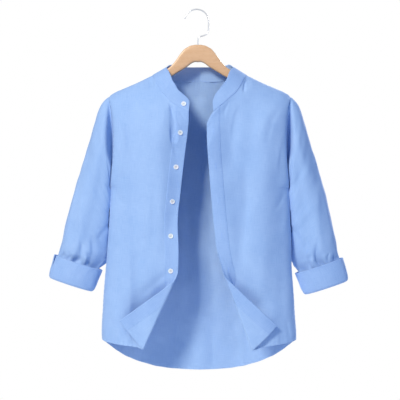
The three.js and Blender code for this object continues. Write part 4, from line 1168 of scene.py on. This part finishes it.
def button_seats():
    """Where the buttons sit: places, outward normals and the two ways in their planes, the first level, for
    the one on the collar and the five on the button band."""
    x = edge_of["right"](BUTTON_LEVELS) + BUTTON_FROM_EDGE
    on_collar, share = collar_steps("right"), np.array([5.8])
    band_normals = front_normals(lambda a, b: worn_front("right", a, b), x, BUTTON_LEVELS, 4)
    normals = np.concatenate([front_normals(on_collar, share, share * 0 + 19), band_normals])
    places = np.concatenate([on_collar(share, share * 0 + 19), worn_front("right", x, BUTTON_LEVELS)])
    off = [COLLAR_WALL / 2 + 0.3] + PLACKET_BUTTONS * [PLACKET_WALL / 2 + 0.45]
    level = np.cross(np.array([0.0, 0.0, 1.0]), normals)
    level /= np.linalg.norm(level, axis=1, keepdims=True)
    return list(zip(places + normals * np.array(off)[:, None], normals, level, np.cross(normals, level)))


def button_profile(radius, angle):
    """The height of a button's face: a rounded rim, a shallow well and four sunk holes."""
    rim_in, rim_top = 0.68 * BUTTON_RADIUS, 0.86 * BUTTON_RADIUS
    well = BUTTON_THICK - WELL_DEPTH + WELL_DEPTH * smooth((radius - rim_in) / (rim_top - rim_in))
    outside = np.clip((radius - rim_top) / (BUTTON_RADIUS - rim_top), 0, 1)
    height = well - 1.2 * (1 - np.sqrt(1 - outside**2))
    x, y = radius * np.cos(angle), radius * np.sin(angle)
    for side, up in ((1, 1), (1, -1), (-1, 1), (-1, -1)):
        away = np.hypot(x - side * HOLE_OFF, y - up * HOLE_OFF)
        height = height - 1.3 * smooth((HOLE_RADIUS + 0.15 - away) / 0.3)
    return height


def buttons():
    """Six turned buttons as one mesh: a polar grid for the face, a wall and a flat back."""
    face = np.concatenate([np.linspace(0.02, 3.6, 22), np.linspace(3.75, BUTTON_RADIUS, 16)])
    angle = np.linspace(0, 2 * np.pi, 73)[None]
    radius = np.concatenate([face, [BUTTON_RADIUS, BUTTON_RADIUS - 0.8, 0.02]])[:, None]
    back = np.array([[BUTTON_BACK], [0], [0]]) + 0 * angle
    height = np.concatenate([button_profile(face[:, None], angle), back])
    across, up = radius * np.cos(angle), radius * np.sin(angle)
    ways = np.stack([height, across, up], -1)
    grids = [place + ways @ np.stack(axes) for place, *axes in button_seats()]
    quads = np.concatenate([grid_quads(height.shape, n * height.size) for n in range(len(grids))])
    first, number = weld(np.stack(grids).reshape(-1, 3))
    return mesh_object("buttons", np.stack(grids).reshape(-1, 3)[first], number[quads][:, ::-1])


def tube_mesh(name, lines, radius, sides=8):
    """Round tubes along lines of places, as one mesh: a ring at each place, square to the line, its ends
    closed to a point."""
    points, faces, start = [], [], 0
    angle = np.arange(sides) * 2 * np.pi / sides
    for line, across in lines:
        way = np.gradient(line, axis=0)
        way /= np.linalg.norm(way, axis=1, keepdims=True)
        side = np.cross(way, across)
        side /= np.linalg.norm(side, axis=1, keepdims=True)
        other = np.cross(side, way)
        size = np.full(len(line), radius)
        size[[0, -1]] *= 0.3
        ring = side[:, None] * np.cos(angle)[:, None] + other[:, None] * np.sin(angle)[:, None]
        points.append((line[:, None] + ring * size[:, None, None]).reshape(-1, 3))
        number = np.arange(len(line) * sides).reshape(-1, sides) + start
        after = np.roll(number, -1, 1)
        quads = np.stack([number[:-1], after[:-1], after[1:], number[1:]], -1).reshape(-1, 4)
        faces += quads.tolist() + [number[0, ::-1].tolist(), number[-1].tolist()]
        start += len(line) * sides
    return mesh_object(name, np.concatenate(points), faces)


def button_thread():
    """Two double bars of thread over each button, from hole to hole."""
    share = np.linspace(-1, 1, 9)
    height = BUTTON_THICK - 0.75 + 0.55 * (1 - share**4) - 1.0 * (np.abs(share) > 0.99)
    lines = []
    for place, normal, level, upward in button_seats():
        bar = place + np.outer(share * HOLE_OFF * 1.1, upward) + np.outer(height, normal)
        for row in (-HOLE_OFF, HOLE_OFF):
            for strand in (-0.24, 0.24):
                lines.append((bar + level * (row + strand), level))
    return tube_mesh("button_thread", lines, 0.26, 6)


def buttonholes():
    """Five upright buttonholes on the left band: a worked rim of close stitches round a slit, as a
    flattened ring."""
    turn = np.linspace(0, 2 * np.pi, 97)
    up = BUTTONHOLE_HALF * np.sign(np.cos(turn)) * np.abs(np.cos(turn)) ** 0.6
    lines = []
    for level in BUTTON_LEVELS + 2:
        x = edge_of["left"](level) + BUTTON_FROM_EDGE - 1.5 + BUTTONHOLE_HALF_WIDTH * np.sin(turn)
        normals = front_normals(lambda a, b: worn_front("left", a, b), x, level + up, 2)
        off = PLACKET_WALL / 2 + 0.3 + 0.12 * np.cos(turn * 60)
        lines.append((worn_front("left", x, level + up) + normals * off[:, None], normals))
    return tube_mesh("buttonholes", lines, 0.55, 6)


# Hanger and hook

def hanger():
    """The hanger: upright sections along it, each a squared oval between its lower and upper edge, so that
    its arrises are rounded; it narrows to a round tip."""
    top, foot = curve(HANGER_EDGES, "x", "top"), curve(HANGER_EDGES, "x", "foot")
    half = np.concatenate([np.linspace(0, 198, 80), 208 - 10 * np.cos(np.linspace(0.15, np.pi / 2, 12))])
    x = np.concatenate([-half[:0:-1], half])[:, None]
    out = np.abs(x)
    angle = np.linspace(0, 2 * np.pi, 49)[None, :]
    narrowed = np.sqrt(np.clip(1 - np.clip((out - 198) / 10.05, 0, 1) ** 2, 0.0025, 1))

    def squared(v):
        return np.sign(v) * np.abs(v) ** 0.42

    y = squared(np.sin(angle)) * HANGER_THICK / 2 * narrowed
    z = (top(out) + foot(out)) / 2 + squared(np.cos(angle)) * (top(out) - foot(out)) / 2 * narrowed
    places = np.stack([x + 0 * y, y, z], -1)
    places[:, -1] = places[:, 0]
    points = places.reshape(-1, 3)
    first, number = weld(points)
    quads = number[grid_quads(places.shape[:2], 0)]
    sections = number.reshape(places.shape[:2])[:, :-1]
    caps = [sections[0, ::-1].tolist(), sections[-1].tolist()]
    return mesh_object("hanger_wood", points[first], quads.tolist() + caps)


def hook():
    """The hook: round wire up the stem, a bend to the side, and round nearly half a turn."""
    middle_x, middle_z = HOOK_MIDDLE
    side = middle_x + HOOK_RADIUS
    s = np.linspace(0, 1, 24)[1:]
    stem = np.stack([np.zeros(12), np.linspace(HOOK_FOOT, -76, 12)], -1)
    weights = np.stack([(1 - s) ** 3, 3 * s * (1 - s) ** 2, 3 * s**2 * (1 - s), s**3], -1)
    bend = weights @ np.array([(0, -76), (0, -60), (side, -74), (side, -46)])
    rise = np.stack([np.full(6, side), np.linspace(-46, middle_z, 7)[1:]], -1)
    turn = np.linspace(0, np.radians(168), 60)[1:]
    arc = np.stack([middle_x + HOOK_RADIUS * np.cos(turn), middle_z + HOOK_RADIUS * np.sin(turn)], -1)
    x, z = np.concatenate([stem, bend, rise, arc]).T
    line = np.stack([x, 0 * x, z], -1)
    return tube_mesh("hook_wire", [(line, 0 * line - AHEAD)], HOOK_WIRE, 18)


# Materials

def linear(hex_colour):
    """An sRGB hex colour as linear light."""
    channels = np.array([int(hex_colour[i : i + 2], 16) for i in (1, 3, 5)]) / 255
    light = np.where(channels <= 0.04045, channels / 12.92, ((channels + 0.055) / 1.055) ** 2.4)
    return (*light.tolist(), 1.0)


def add_node(tree, kind, inputs=None, **settings):
    """A shader node with its settings, and each input set, or linked to a socket or to a node's output in
    use."""
    node = tree.nodes.new("ShaderNode" + kind)
    for key, value in settings.items():
        setattr(node, key, value)
    for key, value in (inputs or {}).items():
        if isinstance(value, bpy.types.Node):
            value = next(socket for socket in value.outputs if not socket.is_unavailable)
        if isinstance(value, bpy.types.NodeSocket):
            tree.links.new(value, node.inputs[key])
        else:
            node.inputs[key].default_value = value
    return node


def new_material(name):
    """An empty node material, its tree and its place in the object's own space."""
    material = bpy.data.materials.new(name)
    material.use_nodes = True
    material.node_tree.nodes.clear()
    place = add_node(material.node_tree, "TexCoord").outputs["Object"]
    return material, material.node_tree, place


def finished(material, shader):
    """The material with its shader linked to the output."""
    add_node(material.node_tree, "OutputMaterial", {"Surface": shader})
    return material


def woven_cotton(name, light_hex, deep_hex):
    """Plain-woven cotton shirting, piece dyed: matt, a little downy, with yarns of uneven thickness. The
    yarns are drawn some three times as coarse as the real quarter of a millimetre, so that they show."""
    material, tree, place = new_material(name)
    cut = add_node(tree, "UVMap", uv_map="cut").outputs["UV"]
    split = add_node(tree, "SeparateXYZ", {"Vector": cut})
    waves, slubs = [], []
    a_turn = np.pi / (DRAWN_YARN * MM)
    for axis in "XY":
        turned = add_node(tree, "Math", {0: split.outputs[axis], 1: a_turn}, operation="MULTIPLY")
        waves.append(add_node(tree, "Math", {0: turned}, operation="SINE"))
    weave = add_node(tree, "Math", {0: waves[0], 1: waves[1]}, operation="MULTIPLY")
    for scale in ((1 / (1.1 * MM), 1 / (26 * MM), 1), (1 / (22 * MM), 1 / (1.1 * MM), 1)):
        drawn_out = add_node(tree, "Mapping", {"Vector": cut, "Scale": scale})
        slub = {"Vector": drawn_out, "Scale": 1.0, "Detail": 2.0, "Roughness": 0.6}
        slubs.append(add_node(tree, "TexNoise", slub))
    yarns = add_node(tree, "Math", {0: slubs[0], 1: slubs[1]}, operation="ADD")
    patchy = {"Vector": place, "Scale": 1 / (95 * MM), "Detail": 3.0, "Roughness": 0.55}
    cloud = add_node(tree, "TexNoise", patchy)
    limits = {"From Min": 0.7, "From Max": 1.3, "To Min": 0.0, "To Max": 0.55}
    shares = [add_node(tree, "MapRange", {"Value": yarns, **limits})]
    limits = {"From Min": 0.35, "From Max": 0.65, "To Min": 0.1, "To Max": 0.36}
    shares.append(add_node(tree, "MapRange", {"Value": cloud, **limits}))
    both = add_node(tree, "Math", {0: shares[0], 1: shares[1]}, operation="ADD")
    dye = {"Factor": both, "A": linear(deep_hex), "B": linear(light_hex)}
    height = add_node(tree, "Math", {0: weave, 1: yarns}, operation="ADD")
    sockets = {
        "Base Color": add_node(tree, "Mix", dye, data_type="RGBA"),
        "Roughness": 0.86,
        "Specular IOR Level": 0.3,
        "IOR": 1.53,
        "Sheen Weight": 0.18,
        "Sheen Roughness": 0.5,
        "Normal": add_node(tree, "Bump", {"Height": height, "Strength": 0.22, "Distance": 0.12 * MM}),
    }
    return finished(material, add_node(tree, "BsdfPrincipled", sockets))


def lacquered_beech():
    """Pale beech under a thin satin lacquer: fine straight grain along the arms, short darker flecks."""
    material, tree, place = new_material("lacquered_beech")
    along = add_node(tree, "Mapping", {"Vector": place, "Scale": (9, 90, 90)})
    grain = add_node(tree, "TexNoise", {"Vector": along, "Scale": 1.6, "Detail": 4.0, "Roughness": 0.6})
    shorter = add_node(tree, "Mapping", {"Vector": place, "Scale": (110, 900, 900)})
    flecks = add_node(tree, "TexNoise", {"Vector": shorter, "Scale": 1.0, "Detail": 1.0})
    limits = {"From Min": 0.62, "From Max": 0.74, "To Min": 0.0, "To Max": 0.35}
    fleck_share = add_node(tree, "MapRange", {"Value": flecks, **limits})
    pale = {"Factor": grain, "A": linear("#dca674"), "B": linear("#efc397")}
    base = add_node(tree, "Mix", pale, data_type="RGBA")
    flecked = {"Factor": fleck_share, "A": base, "B": linear("#c08a58")}
    sockets = {
        "Base Color": add_node(tree, "Mix", flecked, data_type="RGBA"),
        "Roughness": 0.42,
        "Coat Weight": 0.25,
        "Coat Roughness": 0.2,
        "Normal": add_node(tree, "Bump", {"Height": grain, "Strength": 0.12, "Distance": 0.2 * MM}),
    }
    return finished(material, add_node(tree, "BsdfPrincipled", sockets))


def turned_resin():
    """Button resin: off-white polyester, turned and tumbled, with a faint pearly cloud in it."""
    material, tree, place = new_material("turned_polyester_resin")
    cloud = add_node(tree, "TexNoise", {"Vector": place, "Scale": 1 / (4 * MM), "Detail": 2.0})
    pearl = {"Factor": cloud, "A": linear("#f6f4ef"), "B": linear("#ffffff")}
    sockets = {
        "Base Color": add_node(tree, "Mix", pearl, data_type="RGBA"),
        "Roughness": 0.28,
        "IOR": 1.55,
        "Subsurface Weight": 0.1,
        "Subsurface Scale": 1.0 * MM,
    }
    return finished(material, add_node(tree, "BsdfPrincipled", sockets))


def spun_thread(name, hex_colour):
    """Spun polyester sewing thread: satin, its twist drawn as fine unevenness."""
    material, tree, place = new_material(name)
    twist = add_node(tree, "TexNoise", {"Vector": place, "Scale": 1 / (0.8 * MM), "Detail": 1.0})
    relief = add_node(tree, "Bump", {"Height": twist, "Strength": 0.3, "Distance": 0.1 * MM})
    sockets = {"Base Color": linear(hex_colour), "Roughness": 0.6, "Sheen Weight": 0.15, "Normal": relief}
    return finished(material, add_node(tree, "BsdfPrincipled", sockets))


def plated_wire():
    """Bright chrome plate on steel wire, with the faint cloudiness of handling."""
    material, tree, place = new_material("chrome_plated_wire")
    cloud = add_node(tree, "TexNoise", {"Vector": place, "Scale": 1 / (9 * MM), "Detail": 3.0})
    rough = add_node(tree, "MapRange", {"Value": cloud, "To Min": 0.14, "To Max": 0.3})
    sockets = {"Base Color": linear("#c9ccd2"), "Metallic": 1.0, "Roughness": rough}
    return finished(material, add_node(tree, "BsdfPrincipled", sockets))


# The shirt

cotton = woven_cotton("woven_cotton_shirting", "#b3cef3", "#96b8e6")
cotton_doubled = woven_cotton("woven_cotton_shirting_doubled", "#b0cbf2", "#92b4e4")
# The plackets' cloth is a little darker than the body's: partly its fused interlining, partly painted shade
# for the front edges turning away from the light.
fused_cotton_painted_shade = woven_cotton("placket_shirting_fused_and_painted_shade", "#adc9f1", "#90b2e3")
thread_blue = spun_thread("spun_thread_blue", "#a4c4f4")
# The button thread is grey: painted shade that darkens the sunk holes it lies over.
grey_thread_painted_shade = spun_thread("spun_thread_painted_hole_shade", "#9ca2b0")

# Each sheet as it was cut, width, length and area in metres, and what it hangs from on its own side
SHEETS = {
    "back": (0.54, 0.775, 0.36, ["hanger"]),
    "front_right": (0.225, 0.7, 0.123, ["hanger"]),
    "front_left": (0.235, 0.7, 0.129, ["hanger"]),
    "placket": (0.033, 0.62, 0.0204, ["front_SIDE"]),
    "sleeve": (0.48, 0.49, 0.131, ["back", "front_SIDE"]),
    "cuff": (0.305, 0.073, 0.0222, ["sleeve_SIDE"]),
    "collar": (0.56, 0.04, 0.0215, ["hanger", "back"]),
}
FINISHES = {"collar": cotton_doubled, "cuff": cotton_doubled, "placket": fused_cotton_painted_shade}

sheets = {"back": back_panel(), "collar_band": collar_band()}
for side in FRONTS:
    sheets[f"front_{side}"] = front_panel(side)
    sheets[f"placket_{side}"] = placket(side)
    sheets[f"sleeve_{side}"] = sleeve(side)
    sheets[f"cuff_{side}"] = cuff(side)
for node, piece in sheets.items():
    kind, _, side = node.partition("_")
    width, length, area, carriers = SHEETS.get(node) or SHEETS[kind]
    carriers = [name.replace("SIDE", side) for name in carriers]
    piece.data.materials.append(FINISHES.get(kind, cotton))
    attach(piece, "root")
    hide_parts(node)

button_nodes = ["button_collar"] + [f"button_{n}" for n in range(1, PLACKET_BUTTONS + 1)]
other_pieces = (
    (buttons(), turned_resin(), "button", button_nodes),
    (button_thread(), grey_thread_painted_shade, "button", []),
    (buttonholes(), thread_blue, "cotton", []),
    (stitch_mesh("seam_stitches"), thread_blue, "cotton", []),
    (hanger(), lacquered_beech(), "wood", ["hanger"]),
    (hook(), plated_wire(), "chrome", ["hook"]),
)
for piece, finish, slot, nodes in other_pieces:
    piece.data.materials.append(finish)
    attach(piece, "root")
    if nodes:
        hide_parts(*nodes)

# Camera, light and floor

camera_data = bpy.data.cameras.new("camera")
camera_data.lens = 100
camera_data.sensor_width = 36
camera = bpy.data.objects.new("camera", camera_data)
camera.location = (0.0051, -2.833, -0.4845)
camera.rotation_euler = (np.pi / 2, 0, 0)
bpy.context.scene.collection.objects.link(camera)
bpy.context.scene.camera = camera


def area_light(name, place, target, size, power, hex_colour):
    """A square soft light at a place, turned to a target."""
    light = bpy.data.lights.new(name, "AREA")
    light.size = size
    light.energy = power
    light.color = linear(hex_colour)[:3]
    lamp = bpy.data.objects.new(name, light)
    lamp.rotation_euler = (Vector(target) - Vector(place)).to_track_quat("-Z", "Y").to_euler()
    lamp.location = place
    bpy.context.scene.collection.objects.link(lamp)


area_light("key", (-2.1, -3.8, 2.2), (0.05, 0, -0.6), 1.0, 206, "#fff9e6")
area_light("fill", (1.4, -4.0, 0.0), (0, 0, -0.7), 2.0, 14, "#dbe8ff")
area_light("rear", (2.2, 3.3, 1.3), (0, 0, -0.6), 1.2, 150, "#fffaf0")

# The world is plain white where it is seen or mirrored, and a blue glow where it lights the cloth
world = bpy.data.worlds.new("studio")
world.use_nodes = True
sky = world.node_tree
sky.nodes.clear()
seen = add_node(sky, "Background", {"Color": linear("#ffffff"), "Strength": 1.0})
glow = add_node(sky, "Background", {"Color": linear("#8dbbff"), "Strength": 0.45})
ray = add_node(sky, "LightPath").outputs
either_ray = {0: ray["Is Camera Ray"], 1: ray["Is Glossy Ray"]}
seen_or_mirrored = add_node(sky, "Math", either_ray, operation="MAXIMUM")
either = add_node(sky, "MixShader", {0: seen_or_mirrored, 1: glow, 2: seen})
add_node(sky, "OutputWorld", {"Surface": either})
bpy.context.scene.world = world
bpy.context.scene.view_settings.view_transform = "Standard"

FLOOR_Z = -1300
FLOOR_RADIUS = 1300


def floor_disc():
    """A round pale floor well below the hem."""
    radius = np.linspace(0, FLOOR_RADIUS, 12)[1:, None]
    angle = np.linspace(0, 2 * np.pi, 65)[None, :]
    grid = np.stack([radius * np.cos(angle), radius * np.sin(angle), FLOOR_Z + 0 * radius * angle], -1)
    points = grid.reshape(-1, 3)
    first, number = weld(points)
    quads = number[grid_quads(grid.shape[:2], 0)]
    middle = number[np.arange(64)][::-1].tolist()
    return mesh_object("floor", points[first], quads.tolist() + [middle])


floor = floor_disc()
paper, paper_tree, _ = new_material("matt_white_paper")
paper_shader = add_node(paper_tree, "BsdfPrincipled", {"Base Color": linear("#f6f6f6"), "Roughness": 0.9})
floor.data.materials.append(finished(paper, paper_shader))
